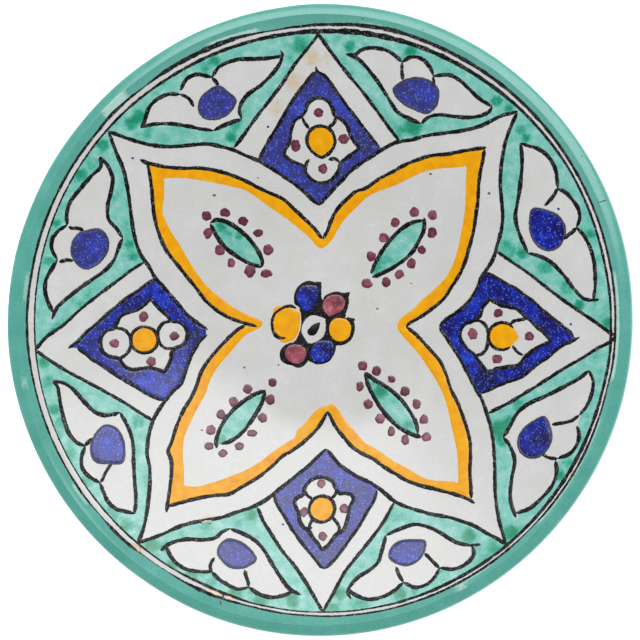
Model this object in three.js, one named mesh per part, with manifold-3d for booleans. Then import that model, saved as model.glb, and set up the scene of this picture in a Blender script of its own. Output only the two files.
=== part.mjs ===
// A hand painted ceramic plate: a thrown clay body with a foot ring, a white tin
// glaze inside and out, a turquoise rim, and a star pattern brushed on the face.
// Millimetres. +Z is up, the foot ring rests on z = 0 and the plate's axis is Z.
// +Y points to the tent that is called "north" in the names below.
import * as THREE from "three";
import { mergeVertices } from "three/addons/utils/BufferGeometryUtils.js";
import Module from "manifold-3d";

const wasm = await Module();
wasm.setup();

// ---------------------------------------------------------------- dimensions
const PLATE_RADIUS = 100;
const LATHE_STEPS = 60;
const PAINT_STEPS = 30;

// The face: a nearly flat well that bends softly into a straight flare, with a
// small steeper band just inside the rounded lip.
const WELL_HEIGHT = 11.5;
const FLARE_SLOPE = 0.345;
const KNEE_RADIUS = 36;
const KNEE_SOFTNESS = 10;
const BAND_RADIUS = 92.3;
const BAND_SLOPE = 0.35;
const BAND_SOFTNESS = 0.8;
const LIP_START = 94.7;

// The foot ring.
const FOOT_OUTER = 46;
const FOOT_INNER = 39.5;
const FOOT_EDGE = 1;
const FOOT_RECESS = 4.5;
const WIRE_HOLE_RADIUS = 1.5;
const WIRE_HOLE_HEIGHT = 2.7;
const WIRE_HOLE_SPREAD = 0.2;

// Glaze and paint.
const GLAZE_THICKNESS = 0.5;
const LAYER_GAP = 0.08;
const PAINT_THICKNESS = 0.24;
const EDGE_GAP = 0.15;
const MESH_TOLERANCE = 0.03;
const RIM_GLAZE_DROP = 9;
const FOOT_GLAZE_MARGIN = 1.2;

// The brush lines.
const LINE_WIDTH = 1.15;
const LINE_STEP = 7;
const OUTLINE_STEP = 3.4;
const OUTER_RING = { x: 0.8, y: -0.5, radius: 93.35 };
const INNER_RING = { x: 1.0, y: -0.6, radius: 91.5 };
const RIM_GLAZE_EDGE = { x: 0.8, y: -0.5, radius: 94.05 };

// ------------------------------------------------------------ painted outlines
// Each stroke is a list of [x, y] points that a soft curve runs through. Strokes
// of one outline meet end to end at its corners.
const STAR = [
  [[-67.2, 60.4], [-60, 57.8], [-54, 56.2], [-46, 55.8], [-38, 56.6], [-31, 55.6], [-24, 52.8],
    [-15.5, 48.5], [-9, 43.9], [-4, 39.3], [-1.7, 37.2]],
  [[-1.7, 37.2], [2.2, 41.2], [6.1, 45], [11, 49.4], [17, 53], [24, 56.6], [33, 58.3],
    [41, 59.3], [50, 60.6], [57, 63.4], [63.9, 65.3]],
  [[63.9, 65.3], [60.2, 57.5], [58.5, 50.5], [57.7, 43], [58.3, 35], [57.8, 28.5], [55.4, 20.4],
    [51, 13.8], [48.2, 8], [43, 2.6], [37.2, -2]],
  [[37.2, -2], [41.6, -8.6], [46, -15.5], [50, -23], [53.4, -30.8], [55.4, -39.5], [55.9, -49],
    [56.4, -57.5], [58, -64.8], [60, -70.9]],
  [[60, -70.9], [54, -67.4], [46, -63.8], [38, -61.9], [31, -60.2], [24.6, -58.2], [18.2, -53.4],
    [12, -50.2], [6, -46.5], [0.8, -41]],
  [[0.8, -41], [-4, -45.7], [-9.5, -50.4], [-15.4, -55.3], [-21, -59.2], [-29, -62.2],
    [-38, -63.9], [-46, -66.2], [-52, -69], [-57.6, -70.9]],
  [[-57.6, -70.9], [-55.8, -65.5], [-54.8, -57], [-54.7, -50], [-55.7, -42.5], [-55.2, -35.5],
    [-52.8, -28.8], [-48.5, -22.6], [-45, -17], [-42.4, -9.6], [-38, -3.6]],
  [[-38, -3.6], [-43, 1], [-48.6, 7.4], [-54, 13.8], [-58, 20.6], [-60.5, 29], [-61.5, 39],
    [-63, 48], [-65.2, 54.5], [-67.2, 60.4]],
];
const INNER_STAR = [
  [[-55.7, 50.7], [-48, 49], [-40, 49], [-32, 47.7], [-24, 44.6], [-14.5, 39.8], [-8.5, 34.8],
    [-4, 30.5], [-0.8, 26.4]],
  [[-0.8, 26.4], [1, 29.4], [3, 34], [6.5, 38.2], [11, 41.6], [18, 45.2], [26, 49.2],
    [35.5, 52.1], [44, 53], [53.2, 54.3]],
  [[53.2, 54.3], [51.4, 47.5], [50.4, 40], [49.6, 33.8], [48, 26.2], [45.3, 17.6], [41, 9.8],
    [36, 4.8], [31, 1.4], [26.4, -1.9]],
  [[26.4, -1.9], [32, -7], [37.5, -13.4], [41, -22], [45, -30.4], [47.5, -38.6], [47.7, -48],
    [48.6, -57.2]],
  [[48.6, -57.2], [41, -54.7], [33.8, -53], [26, -50.2], [19, -46.2], [14.4, -43.2], [9.6, -40.8],
    [5, -35.6], [0.9, -29]],
  [[0.9, -29], [-2.4, -34.4], [-7.5, -39.6], [-13, -43.4], [-20.5, -49.8], [-29.5, -55.3],
    [-38, -56.4], [-48.7, -59.2]],
  [[-48.7, -59.2], [-48, -50], [-48.8, -41.6], [-46.8, -33.4], [-42.4, -24], [-40, -16.8],
    [-34.6, -9.4], [-30, -4.4], [-25.4, -0.9]],
  [[-25.4, -0.9], [-31, 1.5], [-37, 5.8], [-42, 12], [-48.5, 19.8], [-52.6, 28], [-54.2, 37],
    [-54.8, 45], [-55.7, 50.7]],
];
const SAFFRON_INNER_EDGE = [
  [-50.4, 45.6], [-43, 45.6], [-35, 44.3], [-27, 42.5], [-20, 38.4], [-12, 32.7], [-6.5, 28],
  [-3.3, 24.6], [-1.2, 23.4], [1.4, 24.6], [3.8, 28.4], [7.5, 33.4], [12, 37.7], [16, 40.6],
  [23, 43], [30, 45.9], [36, 47.8], [46.5, 48.4], [46.2, 39.5], [45, 30.8], [43, 22],
  [40, 15], [34.5, 9.5], [28, 3.5], [24.6, 1.2], [23.4, -1.8], [25.2, -5], [30, -10.2],
  [34, -16.2], [38, -22.9], [41, -32], [43, -40.7], [43.9, -51.2], [34, -50.2], [27, -46.7],
  [19, -42.4], [12, -37.8], [7.2, -32.2], [4.2, -27.6], [1.6, -26.6], [-1.6, -27.4],
  [-6, -32], [-9.2, -36.4], [-15, -40.8], [-23, -46.8], [-33, -50.8], [-44, -52.7],
  [-44.6, -42], [-43.4, -34.6], [-39.4, -25.6], [-36.8, -19], [-32.6, -12.2], [-26.8, -5.8],
  [-22.2, -2.8], [-20.2, -0.8], [-22, 1.1], [-28.8, 4.4], [-35.4, 9], [-40.6, 15.2],
  [-45.2, 23], [-50.2, 32],
];

// The four white tents: their two sides run from the apex to the star.
const TENTS = [
  { left: [[0.1, 91], [-5, 84.2], [-11.8, 75.4], [-20.2, 65.5], [-28.4, 55]],
    right: [[0.1, 91], [4.4, 84.9], [10, 77.4], [17.5, 67.7], [25.2, 56.9]],
    foot: [-1.7, 37.2] },
  { left: [[92.9, -6], [85, 0.8], [76, 7.4], [66, 14.9], [55.9, 21.8]],
    right: [[92.9, -6], [84, -12.2], [73.8, -18.2], [63.5, -24.4], [53.5, -29.6]],
    foot: [37.2, -2] },
  { left: [[2, -92.6], [5.6, -85.4], [11.2, -76.2], [17.6, -67.8], [23.4, -57.8]],
    right: [[2, -92.6], [-3.4, -83.8], [-10.4, -75], [-16.5, -66.8], [-20.6, -59.2]],
    foot: [0.8, -41] },
  { left: [[-90.8, -9.4], [-83, -14.9], [-74, -20.1], [-63.5, -26.1], [-54.3, -32.1]],
    right: [[-90.8, -9.4], [-82.5, -1.5], [-75, 5.7], [-66, 12.8], [-57.2, 19.3]],
    foot: [-38, -3.6] },
];

// The four cobalt lozenges. The two sides nearest the rim are strokes of their own,
// and the star's line closes the lozenge. The flower is a reserve left in the cobalt.
const LOZENGES = [
  {
    name: "north",
    sides: [
      [[-20.6, 51.5], [-15.4, 60], [-9.3, 69.3], [-5, 74.6], [-0.4, 79.4]],
      [[-0.4, 79.4], [5.5, 72.6], [11, 65], [16.2, 58.2], [19.2, 54.2]],
    ],
    inner: [[11, 49.4], [2.2, 41.2], [-1.7, 37.2], [-9, 43.9]],
    flower: [[-5, 66], [-4.2, 69], [-1.8, 70.8], [1, 70.8], [3.6, 69], [4.6, 66], [7.2, 63.6],
      [9.2, 59.6], [12, 55], [9, 52.8], [5.9, 50.6], [4.6, 47.4], [1.9, 44.8], [-1.8, 44.3],
      [-4.8, 46.4], [-6.4, 49.8], [-9.6, 51.3], [-12.4, 53.4], [-10.4, 57], [-9.6, 61], [-7.6, 64.6]],
    boss: { x: -0.2, y: 57.6, radius: 4.5 },
  },
  {
    name: "east",
    sides: [
      [[52.4, 15.2], [60, 11], [67.6, 6], [74.8, -0.2], [81.2, -6.2]],
      [[81.2, -6.2], [75.2, -9.9], [67.5, -15.6], [61, -19.4], [50.6, -23.4]],
    ],
    inner: [[46, -15.5], [41.6, -8.6], [37.2, -2], [43, 2.6], [48.2, 8]],
    flower: [[53.8, 6.7], [57.5, 4.6], [62.7, 3.4], [65.6, 0.6], [69.4, -2.6], [73.4, -6.9],
      [70, -8.6], [66.3, -10.9], [64.3, -13.4], [61, -14.8], [57.4, -15.2], [54.2, -16.9],
      [51.4, -14.8], [49, -11.3], [45.6, -8.4], [43.9, -5], [45.2, -1.6], [48.6, -0.4],
      [50.8, 2.4]],
    boss: { x: 57.8, y: -5.2, radius: 4.4 },
  },
  {
    name: "south",
    sides: [
      [[18.2, -53.8], [15, -60.6], [10.3, -68.4], [6, -74.6], [2.1, -79]],
      [[2.1, -79], [-3, -74], [-8.4, -67.4], [-12.6, -61.2], [-15.4, -55.4]],
    ],
    inner: [[-9.5, -50.4], [-4, -45.7], [0.8, -41], [6, -46.5], [12, -50.2]],
    flower: [[-0.4, -49.9], [-3.8, -50.9], [-5.8, -53.6], [-6.6, -55.7], [-8.8, -57.6],
      [-7.6, -61.6], [-6.4, -65.4], [-3.4, -67.6], [0.8, -72.8], [3.8, -70], [6.4, -67.4],
      [8.3, -64.4], [9.1, -59.8], [10.2, -57], [8.6, -55.2], [5.4, -54.8], [4.2, -52.2],
      [2.2, -50.4]],
    boss: { x: 0.2, y: -60.1, radius: 4.1 },
  },
  {
    name: "west",
    sides: [
      [[-50.8, -25.7], [-59.6, -21.3], [-68.9, -15.4], [-73.6, -12.1], [-78.6, -7.8]],
      [[-78.6, -7.8], [-72.8, -1.5], [-66, 4.9], [-59, 10.1], [-54, 13.8]],
    ],
    inner: [[-48.6, 7.4], [-43, 1], [-38, -3.6], [-42.4, -9.6], [-45, -17], [-48.5, -22.6]],
    flower: [[-55.8, 7.2], [-53.4, 4.8], [-50.8, 2.2], [-47, 0.4], [-44.2, -3.8], [-45.6, -7.8],
      [-48.6, -9.6], [-49.8, -13.8], [-51.5, -16.4], [-54.4, -15.4], [-60.4, -15.6],
      [-64.4, -13.2], [-68.6, -11.3], [-71.4, -8.4], [-71, -4.6], [-67.4, -2.2], [-65.8, 0.8],
      [-62.6, 2.8], [-58.6, 4.2]],
    boss: { x: -57.5, y: -6, radius: 4.2 },
  },
];

// The eight white palmettes: each has an outline, two short lines that run in from
// the dips between its lobes, and a cobalt bud.
const PALMETTES = [
  {
    name: "north_1",
    outline: [
      [[9, 84.2], [14.5, 85.5], [20.5, 85.6], [24.8, 83.5], [27, 81.3]],
      [[27, 81.3], [31.2, 82.9], [35, 80.8], [36.9, 76.7]],
      [[36.9, 76.7], [42.5, 76.8], [48.3, 72.5], [51.8, 69.3], [55.6, 66.9]],
      [[55.6, 66.9], [51.5, 64.1], [45, 63.9], [38.5, 64.8], [32.4, 62.2]],
      [[32.4, 62.2], [24.8, 66], [19.6, 74.4], [14.6, 81], [9, 84.2]],
    ],
    veins: [[[27, 81.3], [27, 75.4]], [[36.9, 76.7], [36.9, 74.4]]],
    bud: [[23.8, 73.1], [27, 75.4], [31, 76.4], [35, 75.6], [37.8, 73.4], [38.3, 70.5],
      [37, 67.3], [34.2, 65.5], [30.5, 66.8], [27, 68.6], [25, 70.6]],
  },
  {
    name: "east_1",
    outline: [
      [[64.4, 55.4], [70, 53.5], [74.2, 49.8], [76, 44.8], [76.1, 40.9]],
      [[76.1, 40.9], [80.6, 37.6], [83, 32.8], [82, 28.6]],
      [[82, 28.6], [86, 23], [87.8, 16], [87.9, 10], [87.1, 5.7]],
      [[87.1, 5.7], [82, 8.2], [76.6, 15], [71.5, 19.2], [66.2, 20.9]],
      [[66.2, 20.9], [62.6, 30], [63.6, 40], [64.8, 48.5], [64.4, 55.4]],
    ],
    veins: [[[76.1, 40.9], [71.8, 35.4]], [[82, 28.6], [77.6, 25.2]]],
    bud: [[68, 34.6], [72, 34.2], [76, 32.4], [78.2, 29], [77.8, 25.2], [75.6, 22.4],
      [72.6, 21.7], [69.4, 23.4], [67.4, 26.8], [67, 30.6]],
  },
  {
    name: "east_2",
    outline: [
      [[85.8, -16.4], [87.2, -20], [86.2, -25.4], [81.8, -31.6]],
      [[81.8, -31.6], [82.9, -36.6], [80.8, -41.4], [75.4, -43.9]],
      [[75.4, -43.9], [75.5, -49], [71.8, -55.4], [67.5, -59.3], [62.6, -61.8]],
      [[62.6, -61.8], [60.9, -55], [62, -46.4], [60.8, -40.4], [58.4, -37.2]],
      [[58.4, -37.2], [62.9, -29.4], [70, -25], [78, -21.2], [85.8, -16.4]],
    ],
    veins: [[[81.8, -31.6], [73.6, -33.4]], [[75.4, -43.9], [71, -42.2]]],
    bud: [[71.6, -30.8], [73.4, -34], [73.9, -37.4], [72.4, -41], [69.6, -43.3], [66, -43.2],
      [63.7, -41], [63.4, -37.8], [65.2, -34.4], [68.2, -32.2]],
  },
  {
    name: "south_1",
    outline: [
      [[50, -71.1], [49.4, -74.4], [45.2, -78], [38.8, -78.2]],
      [[38.8, -78.2], [36.4, -82.2], [31.6, -84.3], [27.4, -82.8]],
      [[27.4, -82.8], [21.4, -87.2], [14.8, -87.9], [9.8, -85.4]],
      [[9.8, -85.4], [13.6, -80.6], [18.8, -76.8], [21.2, -68.2]],
      [[21.2, -68.2], [30.8, -64.7], [38, -66.9], [44, -70.3], [50, -71.1]],
    ],
    veins: [[[38.8, -78.2], [33.6, -73.4]], [[27.4, -82.8], [25.2, -77.2]]],
    bud: [[33.8, -70.2], [29.5, -69.7], [25.6, -70.2], [23, -72.4], [22.6, -75],
      [25, -76.9], [28.4, -77.4], [31.6, -76], [33.4, -73.4]],
  },
  {
    name: "south_2",
    outline: [
      [[-7.6, -85.9], [-13, -87.8], [-18, -87], [-21.9, -84.6]],
      [[-21.9, -84.6], [-25.6, -85.2], [-30.4, -82.9], [-33.8, -79.9]],
      [[-33.8, -79.9], [-41, -79.3], [-46.4, -75.8], [-48.6, -71.8]],
      [[-48.6, -71.8], [-43, -69.7], [-35, -69.7], [-28.8, -66.3]],
      [[-28.8, -66.3], [-20.4, -70.2], [-14.8, -77.4], [-7.6, -85.9]],
    ],
    veins: [[[-21.9, -84.6], [-23.6, -78.4]], [[-33.8, -79.9], [-34.2, -77.6], [-32.4, -75]]],
    bud: [[-29.4, -69.8], [-25.4, -70.6], [-22, -73], [-20.2, -76], [-22.6, -78],
      [-26.4, -78.7], [-30, -77], [-32.2, -73.6], [-31.4, -71.2]],
  },
  {
    name: "west_1",
    outline: [
      [[-85, -19.6], [-82.6, -28], [-80.2, -35.6], [-74.9, -40.2]],
      [[-74.9, -40.2], [-76, -45], [-73.8, -49.4], [-69.9, -51.8]],
      [[-69.9, -51.8], [-67.6, -57.2], [-63.6, -60.6], [-58.7, -61.6]],
      [[-58.7, -61.6], [-58.9, -54], [-60, -43], [-61.6, -34.8], [-64.6, -29.3]],
      [[-64.6, -29.3], [-70.4, -30], [-75.5, -26], [-80.2, -21.1], [-85, -19.6]],
    ],
    veins: [[[-74.9, -40.2], [-71.8, -37]], [[-69.9, -51.8], [-66.6, -45]]],
    bud: [[-68.6, -33.4], [-65.6, -34.6], [-63.6, -37.6], [-62.8, -41.4], [-63.4, -45.2],
      [-67.5, -45.5], [-71.4, -44.9], [-73.1, -41.6], [-72.4, -37.4], [-70.4, -34.4]],
  },
  {
    name: "west_2",
    outline: [
      [[-70.1, 52.2], [-74.6, 44.2], [-79.6, 38.2], [-80.6, 30.4]],
      [[-80.6, 30.4], [-84.6, 27.6], [-85.6, 23], [-84, 19.5]],
      [[-84, 19.5], [-87.4, 13.6], [-87.6, 7.6], [-85.6, 1.4]],
      [[-85.6, 1.4], [-81.6, 6.8], [-73, 13.6], [-67.2, 18.8], [-63.9, 26.6]],
      [[-63.9, 26.6], [-68, 32.2], [-68, 37], [-66.5, 44], [-70.1, 52.2]],
    ],
    veins: [[[-80.6, 30.4], [-75.4, 28.6]], [[-84, 19.5], [-78.8, 19.6]]],
    bud: [[-74.6, 28.8], [-71, 29.2], [-68.8, 27], [-68.5, 23.5], [-70.2, 20], [-72.6, 17.8],
      [-75.4, 16.8], [-78.2, 18.6], [-79.6, 22], [-79, 25.6], [-77, 28]],
  },
  {
    name: "north_2",
    outline: [
      [[-11.4, 84.2], [-18, 83.2], [-26, 82.9], [-31.4, 80.7], [-34, 77.3]],
      [[-34, 77.3], [-38.4, 78.3], [-42.2, 76.8], [-44.3, 72.6]],
      [[-44.3, 72.6], [-50, 71.4], [-54.4, 67.4], [-56.9, 61.7]],
      [[-56.9, 61.7], [-49, 62.9], [-42, 62.1], [-34.4, 60.8]],
      [[-34.4, 60.8], [-25.2, 64.4]],
      [[-25.2, 64.4], [-24.8, 69.8], [-18.5, 75], [-13.8, 79.4], [-11.4, 84.2]],
    ],
    veins: [[[-34, 77.3], [-32, 74.2]], [[-44.3, 72.6], [-42, 71], [-40.2, 68.2]]],
    bud: [[-32, 74.6], [-35.6, 73], [-38, 70.4], [-38.6, 67.2], [-37, 64.8], [-33.4, 64.5],
      [-29.8, 65.9], [-27.6, 68.4], [-27, 70.4], [-29.4, 72.8]],
  },
];

// The four turquoise leaves of the middle field, two strokes each.
const LEAVES = [
  {
    name: "north_east",
    outline: [
      [[14.9, 14.4], [19.2, 23.1], [25.5, 29.7], [32.5, 32.2]],
      [[32.5, 32.2], [31, 26], [25.6, 19.5], [14.9, 14.4]],
    ],
  },
  {
    name: "south_east",
    outline: [
      [[12.9, -16.6], [20, -21.1], [26.6, -27.5], [30.9, -36.6]],
      [[30.9, -36.6], [23, -32.9], [17, -26], [12.9, -16.6]],
    ],
  },
  {
    name: "south_west",
    outline: [
      [[-19, -22.5], [-21.6, -28.6], [-26.6, -36], [-33.8, -40]],
      [[-33.8, -40], [-33.4, -34.5], [-28.5, -27.6], [-19, -22.5]],
    ],
  },
  {
    name: "north_west",
    outline: [
      [[-36.6, 31.8], [-31, 31.7], [-23.6, 25.6], [-20.1, 17.6]],
      [[-20.1, 17.6], [-26.6, 20], [-32.4, 24.4], [-36.6, 31.8]],
    ],
  },
];

// The rosette in the middle: six petals in a dark web round a white eye.
const ROSETTE_PETALS = [
  { name: "cobalt_top", kind: "cobalt",
    outline: [[-2.4, 11.6], [-5.6, 11.8], [-8.4, 10], [-9, 6.8], [-7.8, 4.6], [-6.1, 3.5],
      [-3.6, 5.2], [-2.2, 8]] },
  { name: "rose_right", kind: "rose",
    outline: [[6.2, 7.6], [3, 9.3], [0, 7.8], [-0.7, 5], [0.4, 2.4], [2.4, 1.4], [5.2, 2.8],
      [6.8, 5.2]] },
  { name: "saffron_right", kind: "saffron",
    outline: [[8.8, -2.2], [7.4, 0.6], [4.6, 1.4], [1.9, -0.2], [1.3, -3], [2.8, -5.6],
      [5.6, -6.2], [8, -4.8]] },
  { name: "cobalt_bottom", kind: "cobalt",
    outline: [[2.9, -8], [2.6, -11], [0.6, -13], [-2.6, -13.5], [-4.4, -11.4], [-4.2, -8.8],
      [-2, -6.6], [1, -6.2]] },
  { name: "rose_left", kind: "rose",
    outline: [[-5.9, -10.8], [-7.4, -13.4], [-10, -13.8], [-12.6, -12.2], [-13.2, -9.4],
      [-11.6, -7.3], [-8.8, -7.1], [-6.6, -8.4]] },
  { name: "saffron_left", kind: "saffron",
    outline: [[-8.2, -0.6], [-8.3, 3], [-11, 4.4], [-14.6, 3.8], [-16.4, 0.6], [-16, -3],
      [-13.8, -5.2], [-11, -5.8], [-9, -4]] },
];
const ROSETTE_WEB = [
  [-8.4, 3.2], [-6, 2.8], [-2.6, 5.6], [0, 8], [0.6, 2.2], [2.8, 0.8], [1, -1.8], [1.4, -5.2],
  [-0.6, -6.4], [-4.6, -8], [-6, -8.4], [-9, -6], [-8, -3.6], [-7.6, 0],
];
const ROSETTE_EYE = [
  [-4.2, 1.4], [-1, 1], [0.1, -1.4], [-0.6, -4.4], [-3.5, -6.4], [-6, -5.6], [-7.3, -2.8],
  [-6.6, 0],
];
const ROSETTE_PUPIL = [
  [-1.7, -0.4], [-2, -3], [-3.8, -4.8], [-5.6, -3.8], [-5.2, -2.2], [-3.6, -1],
];

// --------------------------------------------------------------------- profile
function softStep(r, start, softness) {
  const d = r - start;
  return (d + Math.hypot(d, softness)) / 2;
}

function faceHeight(r) {
  const flare = softStep(r, KNEE_RADIUS, KNEE_SOFTNESS) - softStep(0, KNEE_RADIUS, KNEE_SOFTNESS);
  return WELL_HEIGHT + FLARE_SLOPE * flare + BAND_SLOPE * softStep(r, BAND_RADIUS, BAND_SOFTNESS);
}

function faceSlope(r) {
  return (faceHeight(r + 0.01) - faceHeight(r - 0.01)) / 0.02;
}

// The lip is an arc that leaves the face at LIP_START and reaches PLATE_RADIUS.
const lipTilt = Math.atan(faceSlope(LIP_START));
const lipRadius = (PLATE_RADIUS - LIP_START) / (1 + Math.sin(lipTilt));
const lipCentre = {
  r: PLATE_RADIUS - lipRadius,
  z: faceHeight(LIP_START) - lipRadius * Math.cos(lipTilt),
};
const wallTilt = Math.atan(FLARE_SLOPE);

// Points of the glazed surface from the axis to a station below the lip, each with
// its outward direction, so that a layer under it is the same list moved inwards.
function facePoints(radii) {
  return radii.map((r) => {
    const tilt = Math.atan(faceSlope(r));
    return { r, z: faceHeight(r), outR: r === 0 ? 0 : -Math.sin(tilt), outZ: Math.cos(tilt) };
  });
}

function lipPoints(steps) {
  const first = Math.PI / 2 + lipTilt;
  const last = wallTilt - Math.PI / 2;
  const points = [];
  for (let i = 1; i <= steps; i += 1) {
    const a = first + ((last - first) * i) / steps;
    const outR = Math.cos(a);
    const outZ = Math.sin(a);
    points.push({ r: lipCentre.r + lipRadius * outR, z: lipCentre.z + lipRadius * outZ, outR, outZ });
  }
  return points;
}

function underHeight(r) {
  const touchR = lipCentre.r + lipRadius * Math.sin(wallTilt);
  const touchZ = lipCentre.z - lipRadius * Math.cos(wallTilt);
  return touchZ - FLARE_SLOPE * (touchR - r);
}

function underPoints(radii) {
  return radii.map((r) => ({
    r,
    z: underHeight(r),
    outR: Math.sin(wallTilt),
    outZ: -Math.cos(wallTilt),
  }));
}

function moved(points, inwards) {
  return points.map((p) => [p.r - inwards * p.outR, p.z - inwards * p.outZ]);
}

// ------------------------------------------------------------- solids and cuts
function toManifold(geometry) {
  const bare = geometry.index ? geometry.toNonIndexed() : geometry.clone();
  bare.deleteAttribute("normal");
  bare.deleteAttribute("uv");
  const merged = mergeVertices(bare, 1e-4);
  const positions = merged.attributes.position.array;
  const triangles = [];
  const index = merged.index.array;
  for (let i = 0; i < index.length; i += 3) {
    const [a, b, c] = [index[i], index[i + 1], index[i + 2]];
    if (a !== b && b !== c && c !== a) {
      triangles.push(a, b, c);
    }
  }
  let volume = 0;
  const corner = [new THREE.Vector3(), new THREE.Vector3(), new THREE.Vector3()];
  for (let i = 0; i < triangles.length; i += 3) {
    corner.forEach((v, k) => v.fromArray(positions, 3 * triangles[i + k]));
    volume += corner[0].dot(corner[1].clone().cross(corner[2]));
  }
  if (volume < 0) {
    triangles.reverse();
  }
  return new wasm.Manifold(new wasm.Mesh({
    numProp: 3,
    vertProperties: new Float32Array(positions),
    triVerts: new Uint32Array(triangles),
  }));
}

function turned(profile, steps = LATHE_STEPS) {
  const points = profile.map(([r, z]) => new THREE.Vector2(Math.max(r, 0), z));
  const geometry = new THREE.LatheGeometry(points, steps);
  geometry.rotateX(Math.PI / 2);
  return toManifold(geometry);
}

// A tall prism on a flat outline, used to cut a patch out of a thin turned layer.
function prism(outline) {
  const shape = new THREE.Shape(outline.map(([x, y]) => new THREE.Vector2(x, y)));
  const geometry = new THREE.ExtrudeGeometry(shape, { depth: 60, bevelEnabled: false });
  geometry.translate(0, 0, -10);
  return toManifold(geometry);
}

function disc(x, y, radius, steps) {
  const geometry = new THREE.CylinderGeometry(radius, radius, 60, steps);
  geometry.rotateX(Math.PI / 2);
  geometry.translate(x, y, 20);
  return toManifold(geometry);
}

function ring(circle, width) {
  const outer = disc(circle.x, circle.y, circle.radius + width / 2, LATHE_STEPS);
  const inner = disc(circle.x, circle.y, circle.radius - width / 2, LATHE_STEPS);
  return outer.subtract(inner);
}

function joined(solids) {
  return solids.reduce((total, next) => total.add(next));
}

function largest(solid) {
  const pieces = solid.decompose();
  return pieces.reduce((best, next) => (next.volume() > best.volume() ? next : best));
}

// ---------------------------------------------------------------- brush shapes
function softCurve(points, closed) {
  const curve = new THREE.CatmullRomCurve3(
    points.map(([x, y]) => new THREE.Vector3(x, y, 0)), closed, "centripetal");
  const steps = Math.max(3, Math.round(curve.getLength() / LINE_STEP));
  return curve.getSpacedPoints(steps).map((p) => [p.x, p.y]);
}

function closedCurve(points) {
  const curve = new THREE.CatmullRomCurve3(
    points.map(([x, y]) => new THREE.Vector3(x, y, 0)), true, "centripetal");
  const steps = Math.max(12, Math.round(curve.getLength() / OUTLINE_STEP));
  return curve.getSpacedPoints(steps).slice(0, -1).map((p) => [p.x, p.y]);
}

// A stroke of even width with short rounded ends.
function brushLine(points, width) {
  const line = softCurve(points, false);
  const half = width / 2;
  const left = [];
  const right = [];
  line.forEach(([x, y], i) => {
    const [ax, ay] = line[Math.max(i - 1, 0)];
    const [bx, by] = line[Math.min(i + 1, line.length - 1)];
    const length = Math.hypot(bx - ax, by - ay);
    const nx = -(by - ay) / length;
    const ny = (bx - ax) / length;
    left.push([x + half * nx, y + half * ny]);
    right.push([x - half * nx, y - half * ny]);
    if (i === line.length - 1) {
      left.push([x + half * ny, y - half * nx]);
    }
    if (i === 0) {
      right.push([x - half * ny, y + half * nx]);
      right.reverse();
    }
  });
  return prism([...left, ...right.reverse()]);
}

function brushLines(strokes, width) {
  return joined(strokes.map((stroke) => brushLine(stroke, width)));
}

// The closed outline that a chain of strokes encloses.
function enclosed(strokes) {
  return strokes.flatMap((stroke) => softCurve(stroke, false).slice(0, -1));
}

function grown(outline, distance) {
  const area = outline.reduce((sum, [x, y], i) => {
    const [nx, ny] = outline[(i + 1) % outline.length];
    return sum + x * ny - nx * y;
  }, 0);
  const side = Math.sign(area) * distance;
  return outline.map(([x, y], i) => {
    const [ax, ay] = outline[(i + outline.length - 1) % outline.length];
    const [bx, by] = outline[(i + 1) % outline.length];
    const length = Math.hypot(bx - ax, by - ay);
    return [x + (side * (by - ay)) / length, y - (side * (bx - ax)) / length];
  });
}

// ------------------------------------------------------------------- materials
function matte(color, roughness) {
  return new THREE.MeshStandardMaterial({ color, roughness, metalness: 0 });
}
const looks = {
  clay: matte(0xc79a74, 0.85),
  white: matte(0xe4e3e0, 0.25),
  turquoise: matte(0x63b8a4, 0.22),
  wash: matte(0x74c4b3, 0.28),
  line: matte(0x2b2b2e, 0.4),
  saffron: matte(0xf2ab14, 0.32),
  cobalt: matte(0x1d1f96, 0.25),
  rose: matte(0xa8536a, 0.3),
};

// -------------------------------------------------------------------- assembly
const plate = new THREE.Group();
plate.name = "painted_plate";

function place(group, name, solid, look) {
  const mesh = solid.getMesh();
  const geometry = new THREE.BufferGeometry();
  geometry.setAttribute("position", new THREE.BufferAttribute(mesh.vertProperties, 3));
  geometry.setIndex(new THREE.BufferAttribute(mesh.triVerts, 1));
  geometry.computeVertexNormals();
  const node = new THREE.Mesh(geometry, look);
  node.name = name;
  group.add(node);
}

function subGroup() {
  const group = new THREE.Group();
  plate.add(group);
  return group;
}

// Stations of the glazed surface, shared by the clay, the glaze and the paint, so
// that the layers' facets run parallel and never cross.
const faceStations = facePoints([0, 24, 33, 41, 52, 70, 91.2, LIP_START]);
const lipStations = lipPoints(7);
const rimEnd = lipStations.at(-1).r - RIM_GLAZE_DROP;
const wallStations = underPoints([rimEnd, FOOT_OUTER + 4]);
const rimWall = wallStations.slice(0, 1);

// The clay body lies one glaze thickness inside the glazed surface.
const clayDepth = GLAZE_THICKNESS + LAYER_GAP;
const footTop = underHeight(FOOT_OUTER + 4);
const clayProfile = [
  ...moved([...faceStations, ...lipStations, ...wallStations], clayDepth),
  [FOOT_OUTER, footTop - 2.2],
  [FOOT_OUTER - 0.3, FOOT_EDGE],
  [FOOT_OUTER - 0.3 - FOOT_EDGE, 0],
  [FOOT_INNER + 0.5 + FOOT_EDGE, 0],
  [FOOT_INNER + 0.5, FOOT_EDGE],
  [FOOT_INNER, FOOT_RECESS - 1],
  [FOOT_INNER - 1.5, FOOT_RECESS],
  [0, FOOT_RECESS],
];
let clay = turned(clayProfile);
for (const side of [-1, 1]) {
  const angle = Math.PI / 2 + side * WIRE_HOLE_SPREAD;
  const hole = new THREE.CylinderGeometry(WIRE_HOLE_RADIUS, WIRE_HOLE_RADIUS, 14, 16);
  hole.rotateZ(Math.PI / 2);
  hole.translate((FOOT_OUTER + FOOT_INNER) / 2, 0, 0);
  hole.rotateZ(angle);
  hole.translate(0, 0, WIRE_HOLE_HEIGHT);
  clay = clay.subtract(toManifold(hole));
}

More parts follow.
